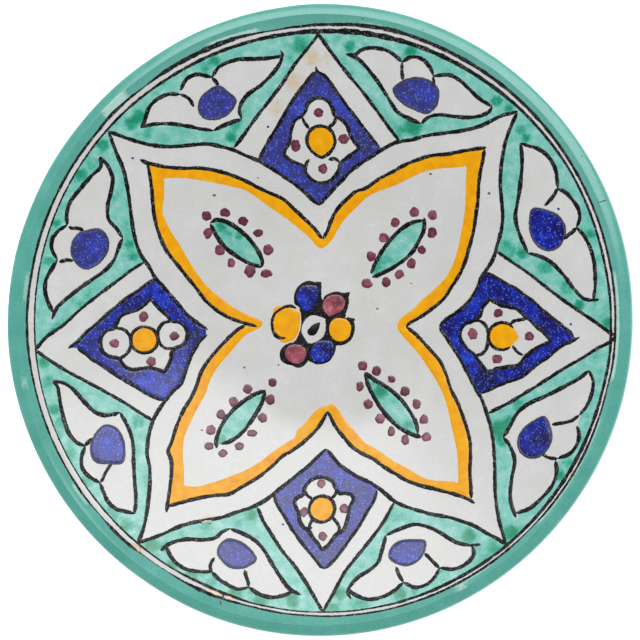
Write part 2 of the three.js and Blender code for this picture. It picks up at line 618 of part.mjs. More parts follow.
// One glaze layer covers the face and the lip; a circle that is slightly off centre
// parts it into the white face and the turquoise rim.
const coverOuter = [...faceStations, ...lipStations, ...rimWall];
const cover = turned([...moved(coverOuter, 0), ...moved(coverOuter, GLAZE_THICKNESS).reverse()]);
function wallMiddle(r) {
  return (faceHeight(r) + underHeight(r)) / 2;
}
function aboveWall(radius) {
  const start = rimEnd - 3;
  const cutter = turned([
    [0, 0],
    [start, 0],
    [start, wallMiddle(start)],
    [radius, wallMiddle(radius)],
    [radius, 50],
    [0, 50],
  ]);
  return cutter.translate([RIM_GLAZE_EDGE.x, RIM_GLAZE_EDGE.y, 0]);
}
const faceGlaze = cover.intersect(aboveWall(RIM_GLAZE_EDGE.radius));
const rimGlaze = cover.subtract(aboveWall(RIM_GLAZE_EDGE.radius + EDGE_GAP));

const backStations = underPoints([rimEnd - 0.3, FOOT_OUTER + 4.2]);
const backGlaze = turned([
  ...moved(backStations, 0),
  ...moved(backStations, GLAZE_THICKNESS).reverse(),
  moved(backStations, 0)[0],
]);
const baseTop = FOOT_RECESS - LAYER_GAP;
const baseRadius = FOOT_INNER - 1.5 - FOOT_GLAZE_MARGIN;
const baseGlaze = turned([
  [0, baseTop - GLAZE_THICKNESS],
  [baseRadius - 0.3, baseTop - GLAZE_THICKNESS],
  [baseRadius, baseTop],
  [0, baseTop],
]);

const body = subGroup();
place(body, "clay_body", clay, looks.clay);
place(body, "face_glaze", faceGlaze, looks.white);
place(body, "rim_glaze", rimGlaze, looks.turquoise);
place(body, "back_glaze", backGlaze, looks.white);
place(body, "base_glaze", baseGlaze, looks.white);

// The paint is a thin layer just above the glaze. Its facets are coarser, and as the
// face is hollow they lie a little higher than the glaze and never cut into it.
const paintStations = [...facePoints([0, 33, 52, 91.2, LIP_START]), lipStations[0]];
const paintLayer = turned([
  ...moved(paintStations, -LAYER_GAP),
  ...moved(paintStations, -LAYER_GAP - PAINT_THICKNESS).reverse(),
], PAINT_STEPS);
const wide = LINE_WIDTH + 2 * EDGE_GAP;

function painted(group, name, cutter, look) {
  place(group, name, largest(paintLayer.intersect(cutter)).simplify(MESH_TOLERANCE), look);
}

// Lines that touch each other are one piece: the star, the tents, the sides of the
// lozenges and the inner ring.
const netStrokes = [
  ...STAR,
  ...TENTS.flatMap((tent) => [tent.left, tent.right]),
  ...LOZENGES.flatMap((lozenge) => lozenge.sides),
];
const netLines = brushLines(netStrokes, LINE_WIDTH).add(ring(INNER_RING, LINE_WIDTH));
const netGap = brushLines(netStrokes, wide).add(ring(INNER_RING, wide));
const lines = subGroup();
painted(lines, "star_and_tent_lines", netLines, looks.line);
painted(lines, "outer_ring_line", ring(OUTER_RING, LINE_WIDTH - EDGE_GAP), looks.line);
painted(lines, "inner_star_line", brushLines(INNER_STAR, LINE_WIDTH), looks.line);

const fields = subGroup();
const saffron = prism(enclosed(INNER_STAR)).subtract(prism(closedCurve(SAFFRON_INNER_EDGE)));
painted(fields, "saffron_band", saffron.subtract(brushLines(INNER_STAR, wide)), looks.saffron);

for (const lozenge of LOZENGES) {
  const outline = [...enclosed(lozenge.sides), lozenge.sides[1].at(-1), ...lozenge.inner];
  const field = prism(outline).subtract(netGap).subtract(prism(closedCurve(lozenge.flower)));
  const { x, y, radius } = lozenge.boss;
  painted(fields, `cobalt_lozenge_${lozenge.name}`, field, looks.cobalt);
  painted(fields, `saffron_boss_${lozenge.name}`, disc(x, y, radius, 18), looks.saffron);
}

// Each palmette is a white reserve in the turquoise ground.
let ground = disc(INNER_RING.x, INNER_RING.y, INNER_RING.radius, LATHE_STEPS);
ground = ground.subtract(prism(enclosed(STAR))).subtract(netGap);
for (const tent of TENTS) {
  const outline = [...softCurve(tent.left, false), tent.foot, ...softCurve(tent.right, false).reverse()];
  ground = ground.subtract(prism(outline.slice(0, -1)));
}
for (const palmette of PALMETTES) {
  const bud = closedCurve(palmette.bud);
  const strokes = [...palmette.outline, ...palmette.veins];
  const drawing = brushLines(strokes, LINE_WIDTH).subtract(prism(grown(bud, EDGE_GAP)));
  ground = ground.subtract(prism(enclosed(palmette.outline)));
  ground = ground.subtract(brushLines(palmette.outline, wide));
  painted(lines, `palmette_line_${palmette.name}`, drawing, looks.line);
  painted(fields, `cobalt_bud_${palmette.name}`, prism(bud), looks.cobalt);
}

// The ground falls apart into one field round each palmette.
const grounds = paintLayer.intersect(ground).decompose().filter((piece) => piece.volume() > 20);
for (const palmette of PALMETTES) {
  const [x, y] = palmette.bud[0];
  const distance = (piece) => {
    const box = piece.boundingBox();
    return Math.hypot((box.min[0] + box.max[0]) / 2 - x, (box.min[1] + box.max[1]) / 2 - y);
  };
  const nearest = grounds.reduce((best, next) => (distance(next) < distance(best) ? next : best));
  place(fields, `turquoise_ground_${palmette.name}`, nearest.simplify(MESH_TOLERANCE), looks.wash);
}

for (const leaf of LEAVES) {
  const field = prism(enclosed(leaf.outline)).subtract(brushLines(leaf.outline, wide));
  painted(fields, `turquoise_leaf_${leaf.name}`, field, looks.wash);
  painted(lines, `leaf_line_${leaf.name}`, brushLines(leaf.outline, LINE_WIDTH), looks.line);
}

const rosette = subGroup();
let web = prism(closedCurve(ROSETTE_WEB));
const petals = ROSETTE_PETALS.map((petal) => closedCurve(petal.outline));
petals.forEach((outline) => {
  web = web.add(prism(grown(outline, 1)));
});
petals.forEach((outline, i) => {
  web = web.subtract(prism(grown(outline, EDGE_GAP)));
  painted(rosette, `petal_${ROSETTE_PETALS[i].name}`, prism(outline), looks[ROSETTE_PETALS[i].kind]);
});
web = web.subtract(prism(closedCurve(ROSETTE_EYE)));
painted(rosette, "rosette_web", web, looks.line);
painted(rosette, "rosette_pupil", prism(closedCurve(ROSETTE_PUPIL)), looks.line);

export default plate;
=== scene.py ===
"""A hand painted ceramic plate. Glaze shells, raised brush lines and thin fields of painted
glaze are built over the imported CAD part. Outlines are in millimetres in the plate's plan,
with +Y towards the north tent; meshes are in metres."""

import math

import bpy
import numpy as np
from mathutils import Matrix, Vector, geometry, noise


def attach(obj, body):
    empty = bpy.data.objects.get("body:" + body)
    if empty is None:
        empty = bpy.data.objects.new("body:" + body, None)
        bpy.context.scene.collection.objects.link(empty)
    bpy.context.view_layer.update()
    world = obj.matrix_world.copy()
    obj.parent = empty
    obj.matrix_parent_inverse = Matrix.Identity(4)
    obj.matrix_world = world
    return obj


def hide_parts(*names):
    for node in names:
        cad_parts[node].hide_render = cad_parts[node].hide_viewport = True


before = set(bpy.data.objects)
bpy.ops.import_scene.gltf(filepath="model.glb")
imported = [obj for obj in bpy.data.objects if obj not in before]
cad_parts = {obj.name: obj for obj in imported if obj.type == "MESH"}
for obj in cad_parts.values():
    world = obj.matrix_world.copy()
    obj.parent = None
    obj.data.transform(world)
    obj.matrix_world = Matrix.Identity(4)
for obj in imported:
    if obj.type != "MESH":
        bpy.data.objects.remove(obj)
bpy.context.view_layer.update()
MM = 0.001

# ------------------------------------------------------------------ the plate's form
# Heights and radii are in millimetres above the table and from the axis.
WELL_HEIGHT = 11.5
FLARE_SLOPE = 0.345
KNEE = (36.0, 10.0)  # where the flare starts, and how softly
BAND_SLOPE = 0.35
BAND = (92.3, 0.8)  # where the steeper band under the lip starts, and how softly
LIP_START = 94.7
RIM_DROP = 9.5  # how far the turquoise runs down the outside wall from the lip
FOOT_OUTER = 46.0
FOOT_INNER = 39.5
FOOT_RECESS = 4.5
FOOT_GLAZED = 1.5  # the height at which the glaze on the foot ring stops
WIRE_HOLE_RADIUS = 1.5
WIRE_HOLE_HEIGHT = 2.7
WIRE_HOLE_SPREAD = 0.2  # each hole's angle from north, in radians
GLAZE = 0.45

# --------------------------------------------------------------------- the brushwork
INK_HEIGHT = 0.10  # how far a brush line stands above the white glaze
FILM_HEIGHT = 0.06  # and a painted field
SUNK = -0.04  # the edge of each is this far under the white glaze
GRID = 1.25  # the spacing of the points inside a field
RIBBON_STEP = 0.36  # the spacing of the points along a brush line
STAR_LINE = 1.3
TENT_LINE = 1.2
LOZENGE_LINE = 1.15
FLOWER_LINE = 1.3
FINE_LINE = 1.15
PALMETTE_LINE = 1.35
VEIN_LINE = 1.2
BUD_LINE = 0.75
LEAF_LINE = 1.5

# How far the hand-thrown rim is off a true circle, by angle in degrees: millimetres.
RIM_RUN_OUT = [(0, -0.35), (20, -0.15), (45, -0.25), (60, 0.0), (75, 0.2), (90, 0.1), (100, -0.3),
               (110, -0.6), (125, -1.05), (140, -1.2), (155, -1.0), (170, -0.5), (185, -0.25),
               (210, -0.5), (235, -0.5), (255, -0.2), (285, -0.15), (315, -0.2), (345, -0.2)]

# The two ring lines: (angle, radius, width). The rim glaze starts just inside the outer one.
OUTER_RING = [(0, 94.3, 0.6), (18, 94.1, 0.6), (27, 94.0, 0.7), (45, 94.1, 0.9), (65, 94.1, 1.0),
              (75, 94.3, 1.1), (81, 94.0, 1.0), (88, 93.4, 0.8), (94, 93.0, 0.6), (99, 92.7, 0.2),
              (102, 92.9, 0.5), (106, 93.1, 1.1), (114, 92.9, 1.2), (121, 92.8, 0.9), (127, 92.6, 0.2),
              (131, 92.8, 0.7), (135, 92.9, 0.8), (140, 92.6, 0.6), (152, 92.8, 0.6), (168, 93.0, 0.6),
              (183, 93.3, 0.6), (195, 93.1, 0.4), (210, 93.1, 0.4), (216, 93.2, 0.5), (222, 93.0, 0.15),
              (226, 93.2, 0.8), (230, 93.2, 0.9), (233.5, 92.9, 0.1), (239, 92.9, 0.1),
              (243, 93.1, 0.5), (247, 93.2, 1.0), (251, 93.1, 0.8), (256, 93.0, 0.4), (266, 93.3, 0.4),
              (276, 93.7, 0.4), (286, 94.0, 0.4), (295, 94.2, 0.6), (310, 94.3, 0.6), (316, 94.2, 0.2),
              (320, 94.4, 0.6), (332, 94.5, 0.7), (342, 94.3, 0.5), (346, 94.2, 0.35), (351, 94.5, 0.6)]
INNER_RING = [(0, 92.8, 0.7), (15, 92.4, 0.8), (30, 92.5, 0.8), (42, 92.2, 1.0), (55, 91.9, 1.2),
              (68, 91.9, 1.4), (80, 91.7, 1.7), (90, 91.3, 1.5), (98, 91.0, 1.1), (108, 90.8, 1.1),
              (120, 90.6, 0.9), (135, 90.8, 0.7), (150, 90.9, 0.5), (175, 91.0, 0.45),
              (195, 91.2, 0.35), (215, 91.1, 0.4), (231, 91.2, 0.6), (240, 91.3, 0.45),
              (246, 91.2, 0.9), (252, 91.5, 0.9), (258, 91.9, 0.4), (268, 92.2, 0.35),
              (280, 92.5, 0.45), (288, 92.7, 0.8), (296, 92.75, 1.1), (310, 92.95, 1.0),
              (330, 93.0, 1.2), (345, 92.9, 1.0), (353, 93.1, 0.9)]

# -------------------------------------------------------------------- brush strokes
# The star: eight strokes, tip to notch and notch to tip in turn, from the north-west tip.
STAR = [
    [(-67.2, 60.4), (-64, 59.2), (-60, 57.8), (-55, 56.4), (-50, 55.8), (-45, 55.9), (-40, 56.5),
     (-36, 56.6), (-32, 55.8), (-28, 54.6), (-24, 52.8), (-20.4, 51.3), (-15.5, 48.3), (-11, 45.2),
     (-7.2, 42.4), (-4, 39.3), (-1.7, 37.2)],
    [(-1.7, 37.2), (0.8, 39.8), (3.4, 42.5), (6.1, 45), (9, 48), (12, 50), (16, 52.4), (20, 54.7),
     (24, 56.6), (29, 57.3), (34, 58.5), (40, 59.2), (45, 59.7), (50, 60.6), (54, 62), (58, 63.8),
     (62, 64.8), (63.8, 65.2)],
    [(63.6, 64.8), (61.5, 60.6), (60, 57), (58.8, 52.5), (58, 47.5), (57.7, 42.5), (58, 37.5),
     (58.3, 33), (57.8, 28.5), (56.6, 24.4), (55.2, 20), (53.4, 16.8), (51, 13.6), (49.4, 9.8),
     (47.5, 6.8), (44.8, 3.9), (42, 1.9), (39.4, 0.3), (37.1, -1.9)],
    [(37.1, -2.2), (39.1, -4.9), (41.6, -8.6), (44.2, -12.6), (46.8, -17.3), (49.2, -21.8),
     (51.3, -25.3), (52.8, -29.3), (54.2, -33.5), (55.1, -38), (55.6, -43), (55.9, -48), (56, -53),
     (56.5, -58), (57.5, -63), (58.6, -66.8), (60, -70.9)],
    [(60, -70.9), (57, -69), (53.5, -67.2), (49.8, -65.2), (46, -63.8), (41.5, -62.5), (36, -61.6),
     (32, -60.6), (28.5, -59.6), (25.3, -58.5), (22.5, -56.8), (20, -54.7), (18.2, -53.4),
     (15.8, -51.8), (12, -50.2), (8.6, -48.3), (5.4, -46.1), (3, -43.5), (0.8, -41)],
    [(0.8, -41), (-2.1, -43.8), (-5, -46.7), (-8.7, -49.7), (-12, -52.4), (-15.4, -55.3),
     (-18.9, -57.9), (-22.5, -59.7), (-27, -61.2), (-31.5, -62.8), (-37, -63.8), (-42, -64.8),
     (-47, -66.7), (-51.5, -68.8), (-55, -70), (-57.6, -70.9)],
    [(-57.4, -70.6), (-56, -66.7), (-55.2, -62), (-54.8, -57), (-54.6, -51.5), (-54.9, -46.5),
     (-55.8, -43), (-55.8, -39.5), (-55.3, -35.5), (-54.4, -32), (-52.8, -28.8), (-50.9, -25.8),
     (-48.5, -22.6), (-46, -20.1), (-44.9, -17), (-44, -13.8), (-42.7, -10.4), (-41.2, -7.6),
     (-39.5, -5.4), (-38, -4.3)],
    [(-37.8, -2.6), (-41, -0.6), (-44.4, 2.2), (-47, 5.4), (-49.3, 8.2), (-51.8, 11.3), (-54, 13.8),
     (-56, 17.6), (-58.2, 20.8), (-59.6, 24.4), (-60.5, 28.5), (-61.1, 33.5), (-61.6, 39),
     (-62.3, 44.5), (-63.2, 49), (-64.4, 52), (-65.6, 55.5), (-67.1, 60.2)],
]
INNER_STAR = [
    [(-57.8, 51.6), (-55.4, 50.5), (-50, 49.3), (-45, 48.9), (-40, 49), (-35, 48.4), (-30, 47),
     (-25, 45), (-20.5, 42.6), (-16.5, 40.8), (-13.2, 39.2), (-9.4, 35.7), (-6, 32.5), (-2.8, 29.2),
     (-0.8, 26.4)],
    [(-0.6, 26.4), (0.9, 28.9), (2.3, 32.5), (4.7, 36.4), (7.9, 39.4), (10.4, 41.4), (13.9, 42.5),
     (18, 45.2), (23, 47.6), (27, 49.6), (31, 51), (35.5, 52.2), (41, 52.6), (46, 53.4), (50, 53.9),
     (53.4, 54.3)],
    [(52.8, 54), (52, 50), (51, 45.8), (50.5, 41.5), (50.2, 37.5), (49.5, 33.5), (48.8, 29),
     (47.4, 24), (45.8, 19), (44.3, 15.5), (41.4, 11), (38.6, 7), (35.1, 4.1), (31.2, 1.4),
     (27.4, -0.8), (26.3, -1.9)],
    [(26.3, -1.9), (29.3, -4.2), (32.1, -7.1), (35.1, -10.3), (37.7, -13.5), (39.4, -17.2),
     (41.2, -22.4), (43.2, -26), (45, -30.2), (46.6, -34.8), (47.6, -38.8), (47.8, -43.5),
     (47.7, -48), (48.1, -52.5), (48.4, -56.5)],
    [(49.6, -58), (47.2, -56.6), (43.5, -55.3), (39.5, -54.3), (35.5, -53.3), (31.5, -52.4),
     (27.5, -51), (23.5, -48.8), (19.5, -46.5), (16.3, -44.2), (13.3, -42.8), (9.7, -40.7),
     (6.4, -37.2), (3.6, -33.8), (1.6, -30), (0.9, -28.9)],
    [(0.9, -28.9), (-0.6, -31.9), (-3, -35.3), (-6.5, -38.7), (-10.4, -41.7), (-12.9, -43.1),
     (-16.5, -46.6), (-20.5, -49.9), (-25, -52.7), (-29.5, -55.3), (-34, -55.8), (-39.5, -56.7),
     (-44, -57.9), (-48.7, -59.2)],
    [(-49, -61.2), (-48.6, -57.5), (-48.2, -53), (-47.9, -48.5), (-48.2, -44.5), (-49.2, -41.6),
     (-48.2, -38.5), (-46.9, -33.6), (-45, -28.8), (-42.6, -24.4), (-41, -20.5), (-40, -17),
     (-37.8, -13), (-34.8, -9.2), (-31.3, -5.5), (-28.3, -2.7), (-25.5, -1)],
    [(-22, -1.6), (-26.2, -0.4), (-30.6, 1.1), (-34.5, 3.3), (-38.3, 6.6), (-41.2, 10.5),
     (-44.1, 14.2), (-46.8, 17.8), (-49.8, 21.7), (-51.8, 25.8), (-53.2, 30), (-54, 34.5),
     (-54.3, 39.5), (-54.6, 44.5), (-55.2, 49), (-55.6, 50.8)],
]
# The saffron band's inner edge, one stroke between each pair of its four corners.
SAFFRON_EDGE = [
    [(-50.3, 45.6), (-50.6, 40), (-51.2, 35), (-50.4, 32.4), (-48.3, 28), (-46, 24.4), (-43.6, 19.8),
     (-40.6, 15), (-37.6, 11.2), (-33.3, 7.5), (-29, 4.4), (-25, 2.3), (-22, 1.1), (-20.3, 0.1),
     (-20.3, -1.4), (-22, -2.7), (-25, -4.1), (-27.6, -6.6), (-30.8, -10.4), (-34.2, -14.4),
     (-36.7, -18.8), (-38, -23), (-40.2, -27.4), (-42.4, -32.2), (-44.2, -37), (-44.6, -42),
     (-44, -47.5), (-43.8, -52.5)],
    [(-43.8, -52.5), (-40.3, -52.9), (-35.6, -51.8), (-30, -49.8), (-25.3, -47.9), (-20.6, -45.2),
     (-15.7, -41.3), (-12, -38.8), (-9.5, -37), (-9, -35), (-6.7, -32.9), (-4.5, -30.2),
     (-2.1, -27.9), (0.4, -27), (2.6, -26.5), (4.9, -28.7), (7.3, -32.3), (10.3, -35.5),
     (13.2, -38.7), (17, -40.8), (22.6, -44.5), (27.5, -47), (32.3, -49.7), (36, -50.7),
     (41.4, -51), (43.9, -51.3)],
    [(43.9, -51.3), (43.8, -47), (43.2, -41.5), (41.6, -34.8), (39.3, -26), (36.5, -19.9),
     (32.8, -14.3), (30.9, -11.5), (27.5, -7.6), (25, -4.8), (23.5, -2.5), (23.5, -0.6), (24.8, 1.3),
     (28, 3.5), (31.2, 6.6), (35, 9.8), (38.7, 13.3), (41.4, 17.6), (43.2, 22.5), (44.6, 28.5),
     (45.7, 34.5), (46.2, 40.5), (46.4, 45.5), (46.6, 48.4)],
    [(46.6, 48.4), (42.7, 48.2), (36.6, 47.8), (32, 46.8), (27.8, 45), (22.9, 42.9), (17, 40.9),
     (14, 39.3), (10.3, 36), (6.8, 32.7), (4.4, 29.2), (2.5, 26), (1, 24.4), (-1.3, 23.3),
     (-2.9, 24.2), (-4.3, 26), (-8.9, 30.1), (-13.7, 33.8), (-18.5, 37.2), (-22.5, 40.2),
     (-25.5, 42), (-30, 43.2), (-35, 44.3), (-40, 45.2), (-45, 45.7), (-50.3, 45.6)],
]
# The tents' sides run from the apex to the star; a pair for each tent.
TENTS = [
    [[(0, 91), (0, 90), (-2, 87.5), (-5, 84.2), (-8, 80.7), (-11.8, 75.4), (-16, 70.4), (-20.2, 65.5),
      (-24.4, 60.1), (-28.2, 55.3)],
     [(0.2, 91), (0.8, 90), (2.6, 87.4), (6.3, 82.2), (10, 77.4), (13.8, 72.7), (17.5, 67.7),
      (21.2, 62.4), (25.2, 57)]],
    [[(94.2, -5.4), (93, -4.8), (88.6, -1.6), (83, 2.2), (77.6, 6), (72, 10.2), (67, 14.2), (61.5, 18),
      (56, 21.8)],
     [(94.2, -5.4), (92.8, -7.2), (88.2, -9.6), (82.9, -12.8), (78, -15.5), (72.4, -19),
      (66.3, -22.7), (60.2, -26.3), (53.6, -29.5)]],
    [[(2, -92.3), (3.2, -90), (5.6, -85.4), (8.6, -79.6), (12.4, -74.6), (16.8, -69), (20.4, -63.8),
      (23.4, -58)],
     [(2, -92.3), (-1.8, -86.3), (-4.8, -81.8), (-8.4, -77.2), (-12, -73.2), (-15.5, -68.2),
      (-18.5, -63.8), (-20.4, -59.6)]],
    [[(-90.8, -9.4), (-86.5, -12.6), (-81, -16.2), (-75, -19.5), (-69.5, -22.6), (-63.5, -26.1),
      (-58.5, -29.4), (-54.4, -32)],
     [(-90.8, -9.4), (-87.5, -5.2), (-82.5, -1.5), (-77.5, 3.4), (-72, 8.1), (-66, 12.8),
      (-61, 16.7), (-57.2, 19.2)]],
]

# A lozenge has two sides of its own; the star closes it. Its flower is left white.
LOZENGES = {
    "north": {
        "sides": [[(-20.5, 51.4), (-17.5, 56.8), (-13.2, 63.2), (-9.3, 69.3), (-5, 74.7),
                   (-2.2, 77.8), (-0.4, 79)],
                  [(-0.8, 80.6), (-0.4, 79), (2, 77.6), (5.5, 72.6), (9.2, 67.4), (13, 62.4),
                   (16.7, 57.6), (19, 54.4)]],
        "flower": [(-5, 66.5), (-4, 69), (-2, 70.6), (0.5, 70.8), (2.8, 69.6), (4, 67.5), (4.4, 65.5),
                   (5.6, 64.8), (7.4, 63.4), (8.6, 61.6), (9.4, 58.9), (10.6, 57), (11.9, 55),
                   (9.8, 53.4), (7.8, 51.9), (5.8, 50.2), (5.1, 48.4), (3.9, 46.4), (2, 44.9),
                   (0, 44.2), (-2, 44.4), (-3.8, 45.4), (-5.4, 47.2), (-6.2, 49.4), (-9.8, 51.2),
                   (-12.2, 53.3), (-11.4, 55.4), (-10.3, 57.2), (-9.9, 59.8), (-9.3, 62),
                   (-8.2, 64), (-6.6, 64.9)],
        "arcs": [[(-6, 65), (-5.2, 63.2), (-3.9, 61.3)], [(4.8, 64.8), (4.4, 63.2), (2.3, 61.6)],
                 [(-4.2, 51.8), (-5.2, 50.5), (-5.5, 48.1)], [(1.9, 51.6), (4.1, 51.8), (5.6, 50.6)]],
        "boss": (-0.2, 57.6, 9.0, 9.0),
        "dots": [(-0.6, 66.3, 3.4, 3), (-8.4, 56, 3.4, 4), (7.1, 58, 3.8, 3.2), (0, 48.8, 3, 3.6)],
    },
    "east": {
        "sides": [[(52.5, 15.2), (56.2, 13.2), (59.5, 11.2), (62.7, 9.6), (65.1, 7.6), (67.5, 6.1),
                   (70, 3.7), (72.4, 1.7), (74.8, -0.2), (77.3, -2.2), (79.7, -4.2), (81, -5.8)],
                  [(82.9, -5.8), (80.3, -7), (77.7, -8.1), (75.2, -9.9), (72.8, -11.9), (70, -13.7),
                   (67.5, -15.6), (65.1, -17.6), (62.7, -18.8), (59.4, -19.8), (56.2, -21),
                   (53.4, -22.3), (50.6, -23.3)]],
        "flower": [(50.4, 1.2), (51.2, 3.6), (52.2, 5.2), (53.8, 6.6), (55.4, 5.6), (57.5, 4.6),
                   (60.3, 4), (62.7, 3.4), (64.3, 2), (65.4, 0.7), (66.8, -0.1), (68.4, -1.7),
                   (70.8, -3.7), (72.4, -5.5), (73.4, -6.9), (72, -7.7), (70, -8.5), (68, -9.7),
                   (66.3, -10.9), (65.1, -11.9), (64.3, -13.3), (63.1, -14.3), (60.3, -14.9),
                   (57.4, -15.3), (55.4, -15.7), (54.2, -16.9), (52.6, -16.1), (51, -14.1),
                   (49.7, -12.5), (48.7, -11), (46.5, -9.3), (44.9, -7.3), (43.9, -5), (44.3, -3),
                   (45.7, -1.1), (47.7, -0.4)],
        "arcs": [[(48, -0.3), (49.9, -0.1), (51.9, -1.2), (52.9, -2.9), (53.2, -5), (53, -7.7),
                  (52.3, -9.6), (51, -10.8), (49.1, -11.2)],
                 [(60.4, -1.4), (61.6, -0.5), (63.5, -0.1), (65.5, 0.1)],
                 [(61.1, -8.2), (62, -9.4), (63.1, -10.5), (64.7, -11.3)]],
        "boss": (57.8, -5.2, 9.1, 8.6),
        "dots": [(56.5, 2.2, 3.4, 3), (48, -4.4, 3.2, 4), (66.5, -5.4, 3.2, 3.2),
                 (56.2, -12.4, 3.6, 3.2)],
    },
    "south": {
        "sides": [[(17.8, -54), (16.7, -57.6), (15.2, -60.3), (13.7, -63), (12.2, -65.7),
                   (10.3, -68.4), (8.5, -71.1), (6.6, -73.8), (4.8, -76.1), (3.3, -77.6),
                   (1.9, -78.8)],
                  [(1.9, -78.8), (0.6, -78), (-1.1, -76.1), (-3.1, -73.8), (-5.1, -71.5),
                   (-7.2, -68.9), (-9.3, -66.1), (-11, -63.4), (-12.6, -61.1), (-14.4, -58.4),
                   (-15.4, -55.6)]],
        "flower": [(-0.4, -50), (-3.6, -50.8), (-5.6, -53.3), (-6.1, -55.7), (-7.7, -56.4),
                   (-8.7, -57.6), (-8.3, -59.2), (-7.2, -61.5), (-6.9, -63.4), (-5.6, -65.7),
                   (-3.9, -66.9), (-2.5, -68.8), (-0.8, -70.7), (0.8, -72.7), (2.7, -71.5),
                   (4.1, -69.6), (5.4, -67.9), (6.8, -67.4), (8.1, -64.9), (8.7, -62.6),
                   (9.1, -59.5), (10.2, -57), (9.6, -55.7), (8, -55.1), (5.7, -55.1),
                   (4.3, -53.6), (3.2, -51.4)],
        "arcs": [[(-5.7, -54.1), (-4.6, -55.9), (-2.6, -57.1)],
                 [(4.5, -54.2), (4.2, -55.7), (2.9, -56.7)],
                 [(-2.4, -63), (-3.3, -64.6), (-3.8, -66.5)], [(-4, -66.4), (-2.6, -65.9)],
                 [(3.5, -62.7), (5.1, -64.2), (6.1, -66.1), (5.6, -68.4)]],
        "boss": (0.2, -60.1, 8.2, 8.2),
        "dots": [(-0.4, -52.1, 3, 3.1), (-5.5, -61, 3, 3.1), (7.3, -59.9, 3, 3.1),
                 (0.9, -68.7, 3, 3.1)],
    },
    "west": {
        "sides": [[(-50.8, -25.5), (-52.6, -25.1), (-54.9, -24.1), (-57.3, -22.9), (-59.6, -21.3),
                   (-61.9, -19.9), (-64.3, -18.5), (-66.6, -17), (-68.9, -15.4), (-71.2, -13.8),
                   (-73.6, -12.2), (-75.9, -10.2), (-78, -8.8)],
                  [(-80.8, -8.8), (-78.2, -6.9), (-76.6, -5.1), (-75.1, -3.5), (-72.8, -1.5),
                   (-70.5, 0.7), (-68.2, 2.9), (-65.9, 4.9), (-63.6, 6.9), (-61.3, 8.5),
                   (-59, 10.1), (-56.7, 12), (-54, 13.8)]],
        "flower": [(-70.9, -5.5), (-69.2, -3.2), (-66.6, -2.2), (-66, -0.6), (-65.4, 0.9),
                   (-64.2, 2.1), (-62.1, 2.9), (-59.4, 3.8), (-57.5, 5.3), (-55.8, 7), (-54, 5.4),
                   (-52.1, 3.4), (-50.6, 2), (-49.2, 0.2), (-46.5, -0.4), (-44.6, -2.4),
                   (-44.2, -5), (-45.6, -7.6), (-48, -8.7), (-49, -10.2), (-49.3, -12.2),
                   (-50.2, -14.6), (-51.5, -16.2), (-53.2, -15.6), (-55.5, -15), (-58.2, -15.2),
                   (-60.9, -15.6), (-62.8, -15), (-64.3, -13.4), (-65.2, -12.1), (-68.2, -11.4),
                   (-70.4, -9.6)],
        "arcs": [[(-66.6, -2.2), (-63.7, -2.8), (-61.8, -5.2), (-61.6, -8), (-63, -10.6),
                  (-65.2, -12.1)],
                 [(-49.2, 0.2), (-52, -0.8), (-53.4, -3.6), (-53, -6.6), (-51, -8.6), (-48, -8.7)]],
        "boss": (-57.5, -6, 8.4, 8.4),
        "dots": [(-57.7, 1.5, 3, 3.6), (-66.6, -7.2, 3.2, 3.2), (-48.3, -4.7, 3.2, 3.2),
                 (-55.4, -13, 3.2, 3.2)],
    },
}

